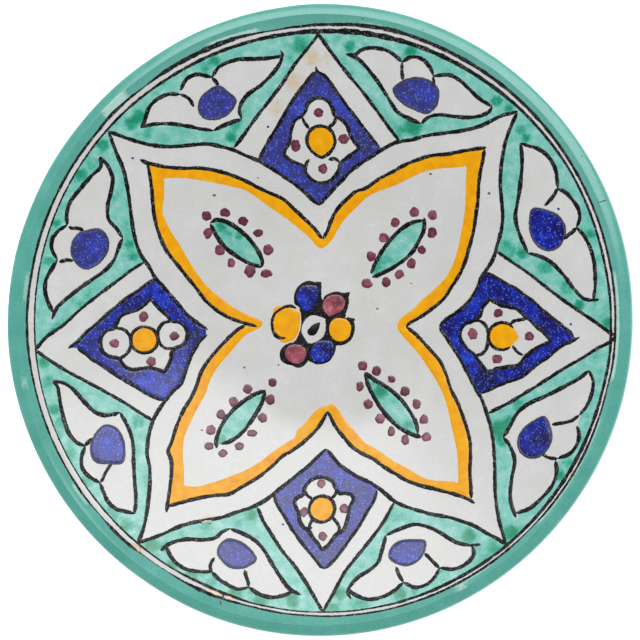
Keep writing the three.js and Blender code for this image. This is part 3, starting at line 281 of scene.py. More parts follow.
# The eight palmettes, clockwise from the north-north-east one: outline strokes end to end,
# veins and tails, and the bud.
PALMETTES = {
    "north_1": {
        "outline": [[(9, 84.2), (12, 84), (14, 85.4), (17, 86), (20, 85.7), (23, 84.7), (25.6, 82.8),
                     (27, 81.4)],
                    [(27, 81.3), (29, 82.6), (31, 82.9), (33.4, 82.2), (35.2, 80.6), (36.4, 78.6),
                     (36.9, 76.8)],
                    [(36.9, 76.8), (39.5, 77.1), (42.5, 76.9), (45.5, 75.2), (48.3, 72.6),
                     (51, 69.9), (53.5, 68.2), (55.6, 66.9)],
                    [(55.6, 66.9), (54.4, 65.2), (51.5, 64.1), (47.5, 63.7), (43, 64.2), (38.5, 64.8),
                     (35, 64.2), (32.4, 62.2)],
                    [(32.4, 62.2), (28.5, 63.9), (24.7, 66.2), (22.4, 69.8), (19.6, 74.4),
                     (16.7, 78.4), (13.6, 82), (10.7, 83.7), (9, 84.2)]],
        "veins": [[(27, 81.3), (26.8, 79), (27, 75.8)], [(36.8, 76.8), (36.9, 75), (36.9, 73.4)]],
        "bud": [(23.9, 73.1), (27, 75.4), (31, 76.4), (35, 75.6), (37.8, 73.4), (38.3, 70.5), (37, 67.3),
                (34.2, 65.5), (30.5, 66.8), (27, 68.6), (25, 70.6)],
    },
    "east_1": {
        "outline": [[(64.4, 55.4), (67, 54.4), (70, 53.4), (73, 51.2), (75.2, 47.8), (76, 44),
                     (76.1, 40.9)],
                    [(76.1, 40.9), (78.6, 39.6), (81, 37), (82.8, 34), (83, 30.8), (82, 28.6)],
                    [(82, 28.6), (84, 26.5), (86, 23), (87.4, 18.6), (87.9, 14), (87.8, 9.5),
                     (87.2, 5.6)],
                    [(87.2, 5.6), (84.3, 6.2), (81, 9.4), (77.5, 14), (73.5, 18), (69.5, 20),
                     (66.2, 20.9)],
                    [(66.2, 20.9), (64.6, 24.4), (63, 28.6), (62.3, 32.4), (63.2, 37.5), (64.2, 43.5),
                     (64.8, 50), (64.4, 55.4)]],
        "veins": [[(76.1, 40.9), (74.8, 38.7), (73.2, 36.9), (71.8, 35.6)],
                  [(82, 28.6), (80.9, 27.4), (79.5, 26.4), (77.6, 25)], [(85.9, 5.6), (89.2, 5.9)]],
        "bud": [(68, 34.6), (72, 34.2), (76, 32.4), (78.2, 29), (77.8, 25.2), (75.6, 22.4), (72.6, 21.7),
                (69.4, 23.4), (67.4, 26.8), (67, 30.6)],
    },
    "east_2": {
        "outline": [[(85.8, -16.2), (87.2, -19.6), (86.8, -23.4), (85, -27.6), (82.7, -30.3)],
                    [(82, -33.6), (82.7, -35.5), (82.4, -38.8), (80, -42.2), (76, -43.8)],
                    [(75.3, -44.4), (75.7, -47.5), (74.6, -51.8), (71.4, -55.8), (67.5, -59.3),
                     (62.8, -61)],
                    [(62.9, -62.4), (61, -57), (61.2, -50.5), (62.1, -44.5), (60.6, -40), (58.4, -37.2)],
                    [(58.4, -37.2), (60.6, -33.4), (62.9, -29.4), (66.8, -26.4), (71.5, -24.4),
                     (77, -21.7), (82.5, -18.8), (85.8, -16.2)]],
        "veins": [[(82.7, -30.3), (80.5, -31.9), (77.7, -32.6), (74, -33.2)],
                  [(76, -43.8), (74.6, -43.8), (72.6, -43.4), (70.9, -42.2)]],
        "bud": [(71.6, -30.8), (73.4, -34), (73.9, -37.4), (72.4, -41), (69.6, -43.3), (66, -43.2),
                (63.7, -41), (63.4, -37.8), (65.2, -34.4), (68.2, -32.2)],
    },
    "south_1": {
        "outline": [[(49, -71.2), (49.7, -73.8), (47.4, -76.8), (43.5, -78.5), (38.8, -78.2)],
                    [(38.8, -78.2), (37.4, -81), (34.6, -83.5), (31, -84.3), (27.4, -82.8)],
                    [(27.4, -82.8), (24.6, -85.4), (20.8, -87.4), (16.4, -88.2), (12.8, -87.2),
                     (10.4, -85.8), (9.4, -85.2)],
                    [(10.8, -88.2), (9.6, -85.8), (12.4, -81.6), (16, -79.3), (18.8, -76.8), (20, -73),
                     (21.2, -68.2)],
                    [(21.2, -68.2), (25, -66.4), (30.5, -64.7), (35, -65.6), (39.5, -67.7),
                     (44, -70.2), (49, -71.2)]],
        "veins": [[(38.7, -78.2), (37, -76.7), (35, -74.8), (33.8, -73.7)],
                  [(27.4, -82.7), (26.2, -81.1), (25.2, -79.2), (24.8, -78)],
                  [(48, -71.2), (52, -70.7)]],
        "bud": [(33.8, -70.2), (29.5, -69.7), (25.6, -70.2), (23, -72.4), (22.6, -75), (25, -76.9),
                (28.4, -77.4), (31.6, -76), (33.4, -73.4)],
    },
    "south_2": {
        "outline": [[(-7.6, -85.9), (-11, -87.3), (-15, -87.8), (-19, -86.6), (-21.9, -84.6)],
                    [(-21.9, -84.6), (-25, -85.3), (-28.8, -83.8), (-32, -81.8), (-33.8, -79.9)],
                    [(-33.8, -79.9), (-38, -79.8), (-42.4, -78.9), (-45.8, -76.4), (-47.8, -73.6),
                     (-48.4, -71.6)],
                    [(-50.2, -73.4), (-48.4, -71.6), (-46, -70.4), (-42, -69.6), (-37, -69.8),
                     (-33.4, -69.2), (-31, -67.2), (-28.8, -66.3)],
                    [(-28.8, -66.3), (-24.5, -67.9), (-20.4, -70.2), (-17.4, -73.4), (-14.8, -77.4),
                     (-12, -81.4), (-9.4, -84.6), (-7.6, -85.9), (-5.2, -87)]],
        "veins": [[(-21.9, -84.5), (-22.3, -82.7), (-23, -81.1), (-23.5, -79.2)],
                  [(-33.7, -80), (-34.4, -78.7), (-34.2, -77), (-33.1, -75.4)]],
        "bud": [(-29.4, -69.8), (-25.4, -70.6), (-22, -73), (-20.2, -76), (-22.6, -78), (-26.4, -78.7),
                (-30, -77), (-32.2, -73.6), (-31.4, -71.2)],
    },
    "west_1": {
        "outline": [[(-85.4, -19.4), (-83.8, -21.3), (-83.4, -23.5), (-82.6, -28), (-81.4, -32.6),
                     (-79.8, -36.4), (-77.4, -39), (-74.9, -40.2)],
                    [(-74.9, -40.2), (-75.9, -43.5), (-75.6, -47), (-73.4, -49.7), (-70, -51.8)],
                    [(-70, -51.8), (-68.8, -54.6), (-67.2, -57.8), (-64.4, -60.2), (-61, -61),
                     (-58.8, -61.6)],
                    [(-58.8, -61.6), (-58.6, -57), (-59.2, -51.5), (-59.8, -45.5), (-60.2, -39.5),
                     (-61.4, -35.2), (-63.2, -31.6), (-64.6, -29.3)],
                    [(-64.6, -29.3), (-68.5, -30.2), (-72, -29.3), (-75.5, -26), (-79, -22),
                     (-82.2, -19.8), (-85.4, -19.4)]],
        "veins": [[(-75, -40.1), (-73.8, -38.5), (-72.3, -37.6)],
                  [(-70, -51.7), (-69.2, -50.7), (-68.5, -48.8), (-67.4, -46.8), (-66.5, -45.6)]],
        "bud": [(-68.6, -33.4), (-65.6, -34.6), (-63.6, -37.6), (-62.8, -41.4), (-63.4, -45.2),
                (-67.5, -45.5), (-71.4, -44.9), (-73.1, -41.6), (-72.4, -37.4), (-70.4, -34.4)],
    },
    "west_2": {
        "outline": [[(-70.2, 52.4), (-70, 49.3), (-73.2, 46), (-77, 41.6), (-79.8, 37.8), (-80.9, 34),
                     (-80.8, 30.6)],
                    [(-80.8, 30.6), (-83.5, 28.8), (-85.5, 26), (-85.6, 22.6), (-84, 19.6)],
                    [(-84, 19.6), (-86, 16.2), (-87.6, 13), (-87.9, 9.6), (-87, 6), (-85.6, 2.8)],
                    [(-85.8, 0.4), (-84.4, 3.8), (-81.6, 6.8), (-77.5, 10.2), (-73, 13.6),
                     (-69.5, 16.2), (-66.8, 19.4), (-65.2, 23.4), (-63.9, 26.6)],
                    [(-63.9, 26.6), (-65.6, 29.6), (-68, 32.4), (-68.2, 36.5), (-67, 41.5),
                     (-66.4, 45.4), (-67.6, 49.2), (-70.2, 52.4)]],
        "veins": [[(-80.4, 30.2), (-79.4, 29.6), (-77.6, 29.6), (-75.7, 28.9)],
                  [(-83.5, 18.8), (-82.5, 19.1), (-81, 19.5), (-79.2, 19.2)]],
        "bud": [(-74.6, 28.8), (-71, 29.2), (-68.8, 27), (-68.5, 23.5), (-70.2, 20), (-72.6, 17.8),
                (-75.4, 16.8), (-78.2, 18.6), (-79.6, 22), (-79, 25.6), (-77, 28)],
    },
    "north_2": {
        "outline": [[(-11.9, 85.6), (-11.2, 84.2), (-15, 83.4), (-20, 83.1), (-25, 83), (-29, 82),
                     (-32, 80.3), (-34, 77.4)],
                    [(-34, 77.4), (-36.2, 78), (-39, 78.3), (-42, 76.9), (-44.2, 73.3)],
                    [(-44.4, 72.1), (-48, 72.1), (-51.8, 70.4), (-54.4, 67.6), (-56, 63.4),
                     (-57.2, 61.6)],
                    [(-57.2, 61.6), (-53.5, 62.6), (-49, 62.9), (-44, 62.4), (-39, 61.4), (-34.4, 60.8)],
                    [(-34.4, 60.8), (-30, 62.8), (-25.2, 64.4)],
                    [(-25.2, 64.4), (-25.8, 67.6), (-23.5, 71.4), (-18.5, 75), (-14.2, 79), (-12, 82),
                     (-11.2, 84.2)]],
        "veins": [[(-34, 77.4), (-32.8, 75.9), (-32.1, 74.7)],
                  [(-44.4, 72.1), (-42.5, 71.4), (-41.2, 70.2), (-40.2, 68.2)]],
        "bud": [(-32, 74.6), (-35.6, 73), (-38, 70.4), (-38.6, 67.2), (-37, 64.8), (-33.4, 64.5),
                (-29.8, 65.9), (-27.6, 68.4), (-27, 70.4), (-29.4, 72.8)],
    },
}

# The four leaves of the middle field, with the dabs of manganese round each.
LEAVES = {
    "north_east": {
        "outline": [[(15, 15.2), (16.6, 18.8), (19.2, 23.1), (22.4, 27), (26, 30), (29.6, 31.6),
                     (32.4, 32)],
                    [(32.6, 32.8), (32.4, 29.4), (30.9, 26), (28.4, 22), (24.6, 18.7), (20, 16),
                     (15.4, 14)]],
        "dots": [(29.4, 34.6, 3.2, 3.4), (35.3, 33.7, 3.2, 3.4), (35.1, 27.9, 3.2, 3.4),
                 (31.6, 22.6, 2.8, 3), (28.1, 18.3, 3, 3.6), (24.2, 14.9, 3.2, 3.4),
                 (19.8, 12.5, 3.2, 3.4), (13.6, 12.1, 3.6, 3.4), (15.1, 20.8, 3.2, 3.4),
                 (19.2, 26.7, 3.2, 3.4), (23, 31.5, 3.2, 3.4)],
    },
    "north_west": {
        "outline": [[(-36.6, 31.6), (-34.5, 32.6), (-31, 31.7), (-27.6, 29.5), (-24.4, 26.5),
                     (-22, 23.2), (-20.4, 19.8), (-20.2, 17.6)],
                    [(-20.3, 17.5), (-24, 18.6), (-28, 20.8), (-31.8, 23.7), (-34.6, 27.4),
                     (-36.6, 31.4)]],
        "dots": [(-37.6, 33.9, 3.2, 3.4), (-31.7, 35, 3.6, 3.2), (-26.1, 32.3, 3.6, 3),
                 (-21.5, 28.4, 3.4, 2.8), (-18.4, 23.1, 3.5, 3.6), (-19.1, 15.5, 3.4, 3),
                 (-17.6, 15.2, 1.4, 1.5), (-24.3, 16.2, 4.2, 4.2), (-30.2, 18.9, 2.6, 3.2),
                 (-33.8, 23.1, 3.2, 3.8), (-37.5, 28.4, 3, 3.6)],
    },
    "south_west": {
        "outline": [[(-19, -22.2), (-22.5, -23.5), (-26.5, -26), (-30.3, -29.6), (-33, -33.8),
                     (-34.3, -38), (-34.2, -40.8)],
                    [(-32.8, -39.5), (-29.6, -38.3), (-26.2, -35.6), (-23, -31), (-20.6, -26.8),
                     (-19.2, -22.6)]],
        "dots": [(-24.9, -21.8, 3.2, 3.4), (-29.3, -25.8, 3.2, 3.4), (-33.2, -30, 3.2, 3.4),
                 (-36.3, -35, 3.2, 3.4), (-36.6, -40.1, 2.9, 2.7), (-32.1, -42.4, 3, 2.6),
                 (-27, -40.2, 3.2, 2.6), (-23.2, -36, 3.4, 2.4), (-20, -31, 3.2, 3.4),
                 (-17.6, -25.2, 3.3, 3.6), (-16.9, -19.7, 3.2, 2.8)],
    },
    "south_east": {
        "outline": [[(13, -16.4), (16, -18.9), (20, -21.2), (24.1, -24.6), (27.4, -28.6),
                     (29.6, -32.4), (30.6, -36.2)],
                    [(31.8, -37.2), (28.6, -36.3), (24.4, -34.1), (20.2, -30.3), (16.6, -25.3),
                     (14.2, -20.6), (13, -16.6)]],
        "dots": [(12.3, -14.4, 3.2, 3.4), (16.8, -16, 3.2, 3.4), (21.7, -18.7, 2.8, 2.7),
                 (26.1, -22.6, 3.2, 3.4), (29.9, -26.6, 3.2, 3.4), (32.4, -31.5, 3.2, 3.4),
                 (33.3, -37.2, 3.2, 3.4), (26.4, -38.1, 3.2, 3.4), (21.8, -35.4, 2.8, 3.2),
                 (18, -31.4, 3.2, 3.4), (14.2, -26.6, 3.2, 3.4), (11.4, -21, 2.7, 3.3)],
    },
}

# The rosette: a black mass with the eye left white in it, and the petals' colours on top.
ROSETTE_WEB = [
    (-1, 12.7), (-3.5, 12.9), (-5.2, 13.2), (-7, 12.7), (-8.8, 11.3), (-9.9, 9.3), (-10.2, 7.2),
    (-9.8, 5.3), (-8.6, 4.6), (-8.4, 3.8), (-8, 2.5), (-7.8, 0), (-8, -2), (-8.8, -4.5), (-9.8, -6.2),
    (-11.5, -6.8), (-13, -7.5), (-14.4, -9), (-14.8, -11), (-14.2, -12.8), (-12.6, -13.9),
    (-10.6, -14.4), (-9, -15.1), (-7.4, -14.9), (-6.2, -14), (-5.2, -13.1), (-4.2, -13.4), (-3, -14),
    (-1.5, -14), (0.2, -13.7), (1.8, -12.8), (3, -11), (3.7, -9.2), (3.9, -8), (5.2, -8), (7.2, -7.3),
    (8.8, -5.9), (9.7, -3.8), (9.9, -1.6), (9.7, 0), (10.3, 0.8), (8.6, 1.2), (7, 1.8), (7.4, 3.6),
    (8, 6), (8, 7.8), (8.3, 9.4), (6, 9.3), (3.8, 9.7), (1.6, 9.2), (0, 8.3), (-0.8, 7.4), (-0.9, 9.5),
    (-0.9, 12),
]
ROSETTE_EYE = [(-3.8, 1.8), (-2, 1.4), (-0.3, 0.8), (0.1, -0.8), (0, -3), (-0.6, -4.6), (-2, -5.9),
               (-3.8, -6.8), (-5.3, -6.8), (-6.3, -5.5), (-7.3, -3.6), (-7.2, -1.6), (-6.3, 0.2),
               (-5, 1.4)]
ROSETTE_PUPIL = [(-1.5, -0.3), (-3.4, -0.7), (-4.8, -1.8), (-5.8, -3.2), (-5.4, -4.4), (-4, -4.8),
                 (-2.8, -4.2), (-2, -2.8), (-1.6, -1.6)]
PETALS = {
    "cobalt_top": [(-6.2, 3.1), (-7.6, 4.3), (-8.9, 6.3), (-9.3, 8.5), (-8.6, 10.3), (-7.3, 11.5),
                   (-5, 11.9), (-2.2, 11.2), (-1.9, 9), (-2.2, 7.2), (-3.4, 5), (-4.6, 3.6)],
    "rose_right": [(1.6, 1.3), (0, 2.6), (-0.9, 4.6), (-0.4, 6.8), (1.2, 8.3), (3.6, 8.8), (5.6, 8.2),
                   (6.8, 6.4), (6.5, 4.4), (5.2, 2.8), (3.2, 2)],
    "saffron_right": [(1.2, -2.5), (1.8, -0.2), (3.2, 1), (5.2, 1.2), (7.2, 0.6), (8.6, -1), (8.7, -3),
                      (8, -5.2), (6.2, -6.5), (4, -6.6), (2, -5.2)],
    "cobalt_bottom": [(-3, -6.8), (-4.4, -8.6), (-4.9, -10.8), (-4, -12.6), (-2.2, -13.6), (0, -13.1),
                      (1.8, -11.8), (2.9, -9.8), (3.1, -8), (2.2, -6.4), (0, -6), (-1.6, -6.1)],
    "rose_left": [(-9.6, -7.2), (-12, -7.9), (-13.1, -9.8), (-12.9, -11.6), (-11.4, -13.1),
                  (-9, -13.9), (-6.9, -13), (-5.8, -11), (-6, -9), (-7.4, -7.6)],
    "saffron_left": [(-16.6, 4.2), (-15, 5.2), (-13, 4.9), (-11, 4.4), (-9.5, 3.8), (-8, 2.8),
                     (-7.9, 0.5), (-8, -1.8), (-8.8, -4.2), (-10, -6), (-12.2, -6.9), (-13.6, -7),
                     (-15, -6), (-16.2, -4.4), (-17, -2), (-17.2, 0), (-16.9, 2.5)],
}
LEFT_PETAL_LINE = [(-9.2, 4.2), (-11, 4.9), (-13, 4.6), (-14.6, 3.8), (-16.2, 2.4), (-17, 0.5),
                   (-17.1, -1.5), (-16.4, -3.8), (-14.8, -5.2), (-12.2, -5.4)]

# Where a glaze ran together and shows deeper, or thin where negative: (x, y, radius, depth).
POOLS = [
    # the turquoise wash
    (30, 84.5, 2.2, 0.9), (10.5, 86.6, 2, 1), (2.2, 88, 1.6, 0.7), (15.5, 86.6, 1.5, 0.5),
    (57, 68.6, 1.9, 1), (61, 66.4, 1.6, 0.9), (64.6, 59.4, 2, 0.6), (66.3, 57, 1.4, 0.8),
    (60, 22.5, 3.4, 0.5), (64.8, 20.6, 2, 0.8), (72, 17, 3, 0.55), (79, 10, 3, 0.45),
    (86.3, 26.6, 1.9, 0.8), (82.6, 4.4, 1.9, 0.9), (92, -1.5, 2.2, 1), (30, 61.6, 3.4, 0.9),
    (24.6, 60, 2.6, 0.5), (-33, 82.4, 2, 1), (-36, 80.8, 2, 0.5), (-5.5, 87, 3, 0.8),
    (-57.5, 65, 2.4, 0.9), (-60, 62.6, 2.2, 0.9), (-55, 60, 2, 0.6), (-69, 56, 2.1, 1.1),
    (-76, 46.4, 2.2, 1), (-72, 50, 3, 0.4), (-84, 31, 1.9, 0.7), (-27, 63, 2.6, 0.5), (-29, 59, 2, 0.9),
    (-61.8, 24.6, 1.8, 0.8), (-61, 20.6, 1.8, 0.7), (-66, 40, 2, 0.4), (-86.5, 19, 1.9, 0.6),
    (-84, -3, 3, 0.6), (-76, 5, 2.6, 0.4), (-88, -13, 1.9, 1), (-84.9, -28.3, 2, 0.9),
    (-86.6, -19, 2.4, 0.5), (-82.6, -33, 2.2, 0.5), (-79, -42, 2, 0.7), (-74.5, -51.5, 2.4, 0.6),
    (-61, -65, 2.6, 0.6), (-66, -61, 2.6, 0.4), (-53, -71.4, 2.6, 1), (-49, -72, 2, 0.7),
    (-37, -64.8, 2.8, 0.4), (-26, -65, 1.5, 0.6), (-22.4, -61.8, 2.4, 0.8), (-46, -77.5, 2.4, 0.8),
    (-40, -81, 2.4, 0.8), (-34, -83.6, 2.2, 0.7), (-26, -86.8, 2.6, 0.8), (-18, -89, 2.6, 0.8),
    (-7.8, -88.8, 2.4, 1), (-2.4, -85.6, 1.8, 0.6), (-59, -32.4, 2.4, 0.6), (57, -34.6, 3, 1),
    (60.4, -32, 2.4, 0.7), (58, -38.4, 2.2, 0.8), (63, -27, 2.4, 0.5), (76.4, -49, 2.2, 0.9),
    (79.6, -45.6, 2.2, 0.5), (83, -38, 2, 0.4), (61.2, -66.8, 2.6, 1), (48, -68, 2.6, 1),
    (56, -71.4, 2.6, 0.6), (54, -75, 3, 0.4), (26.4, -86.4, 2.2, 0.9), (31, -85, 2, 0.5),
    (40, -80.6, 3, 0.4), (7.4, -86.6, 2.2, 1), (5, -92, 2.6, 1), (14, -90, 3, 0.5), (21, -62, 2.4, 0.4),
    (16, 18, 3, 0.7), (20, 20, 2.4, 0.4), (-33.4, 30.4, 2, 0.7), (-27.6, 27.4, 1.6, 0.9),
    (-31, 28.4, 1, 0.7), (-32.8, -38, 1.8, 0.9), (18.4, -22.4, 2.6, 0.9), (17, -19, 2, 0.6),
    (27.6, -33.6, 2, 0.7),
    (61, 34, 5, -0.5), (21, 66, 3, -0.3), (14, 74, 4, -0.4), (-50, 61, 3, -0.5), (-20, 70, 4, -0.35),
    (-57, -42, 4, -0.5), (-57, -56, 4, -0.5), (-10, -76, 4, -0.4), (34, -63, 4, -0.5),
    (59, -52, 4, -0.4), (88, 20, 2, -0.4), (-26, -30, 3, -0.4), (-70, -26, 3, -0.3),
    # the cobalt
    (14.6, 56, 3.4, 0.7), (3.4, 44.4, 3.4, 0.4), (-5, 44.6, 2.6, 0.3), (-1.4, 75, 3, 0.3),
    (-8, 68, 3, -0.5), (6, 69, 3, -0.5), (-12, 49, 3, -0.4), (53, -18.6, 4, 1), (40.6, -3, 2, 0.6),
    (53.6, 12.6, 3, 0.3), (73, -1, 4, 0.7), (64.4, -16.4, 3.4, 0.4), (58, 7.4, 3, 0.3),
    (48, 5.6, 3, -0.8), (46.6, -11.6, 3.4, -0.6), (43, -6.6, 2, -0.4), (69.6, -11.8, 2.6, -0.4),
    (12.6, -53, 3.4, 0.3), (8, -66.6, 3, 0.3), (3.6, -73, 3, 0.2), (-13, -57, 2.6, 0.4),
    (6, -49, 3, -0.4), (-9.4, -63, 3, -0.3), (-6, -50, 3, -0.2), (-41.6, -4.6, 2.6, 0.7),
    (-62.4, 5.4, 3, 0.5), (-63.4, -17, 3, 0.4), (-56, -20, 3.4, -0.7), (-50.6, -21, 3, -0.5),
    (-51, 7, 3, -0.6), (-55.6, 10.4, 2.4, -0.5), (-69, -11, 2, -0.4), (-44, -9, 2, 0.3),
    (27, 74.6, 3, 0.6), (34.6, 75, 2.4, 0.3), (76.6, 28, 3, 0.8), (69, 33.6, 2, 0.3),
    (70.8, -37.6, 3, 0.9), (66.4, -41.6, 2.4, 0.3), (-78, 23.6, 2.4, 0.7), (-73, 24, 3, -0.3),
    (-67.6, -40, 4, -0.6), (-37, 67.6, 2.4, 0.4), (27.6, -75.6, 2.6, -0.4),
    (-4.5, 10.8, 2.6, 1), (-8, 7.4, 2, -1), (1, -7.4, 3, 1), (-2.6, -10.6, 2, -0.6),
    # the rose petals
    (4.5, 6.8, 2, 0.8), (1, 4, 2, -0.5), (-10, -8, 1.8, 0.8), (-9, -11, 2, -0.3),
]

# Faint stains in the white glaze: (x, y, radius, depth).
GLAZE_STAINS = [(-2, 83, 3, 0.5), (-8, 76, 3, 0.5), (-14, 68, 3, 0.35), (-57, -72, 2, 0.6),
                (3, 83, 2, 0.3), (-36, -64, 1.6, 0.6), (-33, -66, 2.4, 0.3), (30, -12, 2, 0.2),
                (15, 5, 3, 0.15)]

# Pale thin places in the rim glaze: (start angle, end angle, inner and outer radius, strength).
RIM_PALE = [(102, 111, 93.2, 94.2, 0.7), (131, 135.5, 93.0, 95.4, 0.8), (171, 176, 93.6, 94.5, 0.4),
            (0, 8, 94.8, 95.4, 0.6), (349, 360, 94.8, 95.5, 0.7), (318, 340, 94.6, 95.1, 0.5),
            (214, 218, 93.5, 94.2, 0.5), (299, 305, 94.5, 95, 0.4), (298.2, 299.2, 94.8, 96.6, 0.5),
            (78, 81, 94.5, 95, 0.4), (191.5, 192.6, 95, 96.6, 0.4)]

# Specks of stray colour: (x, y, size, colour).
SPECKS = [(80, -1.7, 0.45, "cobalt"), (-12, -65, 0.45, "cobalt"), (-17, 62, 0.5, "cobalt"),
          (54, -16, 0.6, "cobalt"), (76.3, 34.5, 0.5, "cobalt"), (-60, 52, 0.45, "cobalt"),
          (35, 46.5, 0.5, "brown"), (-35, 40.5, 0.55, "brown"), (17, 4, 0.4, "brown"),
          (-26, -14.8, 0.45, "brown"), (54, 40, 0.5, "brown"), (-39, -35, 0.4, "brown"),
          (-15, -14, 0.35, "brown"), (28, 12, 0.3, "brown"), (-21, 46, 0.3, "brown")]

# Chips that show the body, and scratches: (x, y, length, width, bearing in degrees, kind).
CHIPS = [(-32.6, -86.3, 5.4, 1.1, -20, "bare"), (-27.6, -88.1, 3, 1.4, -17, "bare"),
         (-56.9, -72.7, 1.9, 1.3, -38, "bare"), (-36.4, -64, 3.4, 0.8, 10, "bare"),
         (-29.8, -87.6, 0.9, 1.8, 0, "brown"), (-30.4, -89.4, 0.5, 1.5, 10, "brown"),
         (-35.4, -64.8, 1.4, 0.5, 5, "brown"), (-38.2, -63.8, 0.8, 0.5, 0, "brown"),
         (90.2, 36.4, 3.2, 0.45, 18, "brown"), (84.1, 50.6, 0.7, 0.5, 0, "brown"),
         (15, 94.8, 0.7, 0.6, 0, "brown"), (34.1, 91, 0.5, 0.5, 0, "brown")]

# The line round a boss that stops short: its first and last step of 40, and how far the
# colour spills there, as a part of the radius.
OPEN_BOSSES = {"east": (4, 36, 0.2)}

# How far a boss comes to a point at its bottom, as a part of its radius.
BOSS_TIPS = {"north": 0.17}

# Which tent, which side of it and which star stroke bound the ground round each palmette.
GROUNDS = {
    "north_1": (0, 1, 1), "east_1": (1, 0, 2), "east_2": (1, 1, 3), "south_1": (2, 0, 4),
    "south_2": (2, 1, 5), "west_1": (3, 0, 6), "west_2": (3, 1, 7), "north_2": (0, 0, 0),
}

# The cobalt fields that get a painted veil of glare, which makes them paler.
PAINTED_GLARE_FIELDS = ("north", "north_1", "north_2", "west_2")

# ------------------------------------------------------------------- surface heights
FLARE_ANGLE = math.atan(FLARE_SLOPE)
LIP_ANGLE = math.atan(FLARE_SLOPE + BAND_SLOPE - 0.012)
WALL_START = math.pi - FLARE_ANGLE

# The lip's section: how far along it the surface has turned to each angle. A ridge, a
# sloping shoulder, then a round edge down to the outside wall.
LIP_TURN = [(0, -LIP_ANGLE), (1.97, math.radians(-29)), (2.07, math.radians(10)),
            (4.82, math.radians(21)), (5.92, math.radians(80)), (9.65, math.radians(100)),
            (11.85, WALL_START)]
LIP_LENGTH = LIP_TURN[-1][0]
LIP_ALONG = np.linspace(0, LIP_LENGTH, 2001)
LIP_SLOPE = np.interp(LIP_ALONG, *zip(*LIP_TURN))


def summed(values):
    """The running integral of the values along the lip's section."""
    return np.concatenate([[0], np.cumsum((values[1:] + values[:-1]) / 2 * np.diff(LIP_ALONG))])


LIP_OUT = summed(np.cos(LIP_SLOPE))
LIP_UP = -summed(np.sin(LIP_SLOPE))
LIP_FACES_UP = LIP_SLOPE < math.radians(85)
LIP_END = LIP_START + LIP_LENGTH


def knee(r, start, soft):
    """Zero before start and r - start after it, with a soft corner between them."""
    return ((r - start) + np.hypot(r - start, soft)) / 2


def face_height(r):
    """The height of the face inside the lip."""
    flare = knee(r, *KNEE) - knee(0.0, *KNEE)
    return WELL_HEIGHT + FLARE_SLOPE * flare + BAND_SLOPE * knee(r, *BAND)


def wrapped(knots, column=1):
    """A smooth periodic function of the angle in degrees, through the knots."""
    angles = np.array([k[0] for k in knots], float)
    values = np.array([k[column] for k in knots], float)
    angles = np.concatenate([angles - 360, angles, angles + 360])
    values = np.tile(values, 3)

    def at(angle):
        a = np.mod(angle, 360)
        i = np.clip(np.searchsorted(angles, a, side="right") - 1, 0, len(angles) - 2)
        t = (a - angles[i]) / (angles[i + 1] - angles[i])
        t = t * t * (3 - 2 * t)
        return values[i] * (1 - t) + values[i + 1] * t
    return at


run_out = wrapped(RIM_RUN_OUT)
outer_ring = wrapped(OUTER_RING)
outer_ring_width = wrapped(OUTER_RING, 2)
inner_ring = wrapped(INNER_RING)
inner_ring_width = wrapped(INNER_RING, 2)


def drift_weight(r):
    """How much of the run-out a radius takes: none on the face, all of it at the lip."""
    t = np.clip((r - 80) / 16, 0, 1)
    return t * t * (3 - 2 * t)


def true_radius(angle, r):
    """The radius in the round profile that the run-out carries to r."""
    drift = run_out(angle)
    inner = np.array(r, float)
    for _ in range(6):
        inner = r - drift * drift_weight(inner)
    return inner


def surface_height(x, y):
    """The height of the white glaze at places in the plan."""
    angle = np.degrees(np.arctan2(y, x))
    r = true_radius(angle, np.hypot(x, y))
    past = np.interp(r - LIP_START, LIP_OUT[LIP_FACES_UP], LIP_UP[LIP_FACES_UP])
    return np.where(r > LIP_START, face_height(LIP_START) + past, face_height(r))


# ------------------------------------------------------------------------ mesh tools
def make_piece(name, points, faces, material, replaces=(), values=None):
    """A closed piece in millimetres, riding on the plate, with values on its points."""
    mesh = bpy.data.meshes.new(name)
    mesh.from_pydata([(x * MM, y * MM, z * MM) for x, y, z in points], [], faces)
    mesh.validate()
    for key, numbers in (values or {}).items():
        layer = mesh.attributes.new(key, "FLOAT", "POINT")
        layer.data.foreach_set("value", np.asarray(numbers, np.float32))
    mesh.polygons.foreach_set("use_smooth", [True] * len(mesh.polygons))
    mesh.set_sharp_from_angle(angle=math.radians(60))
    piece = bpy.data.objects.new(name, mesh)
    bpy.context.scene.collection.objects.link(piece)
    mesh.materials.append(material)
    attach(piece, "root")
    if replaces:
        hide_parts(*replaces)
    return piece


class Builder:
    """Collects the points and faces of one piece, and how deep its glaze is at each point."""

    def __init__(self):
        self.points = []
        self.faces = []
        self.pool = []

    def add(self, points, faces, pool=0.0):
        first = len(self.points)
        self.points.extend(map(tuple, points))
        self.faces.extend(tuple(first + i for i in face) for face in faces)
        self.pool.extend(np.broadcast_to(pool, len(points)))

    def make(self, name, slot, material):
        """Makes an extra piece that no CAD node stands for."""
        make_piece(name, self.points, self.faces, material, values={"pool": self.pool})

    def make_for(self, node, material):
        """Makes the piece that stands in for a CAD node."""
        make_piece(node + "_fine", self.points, self.faces, material, [node],
                   {"pool": self.pool})


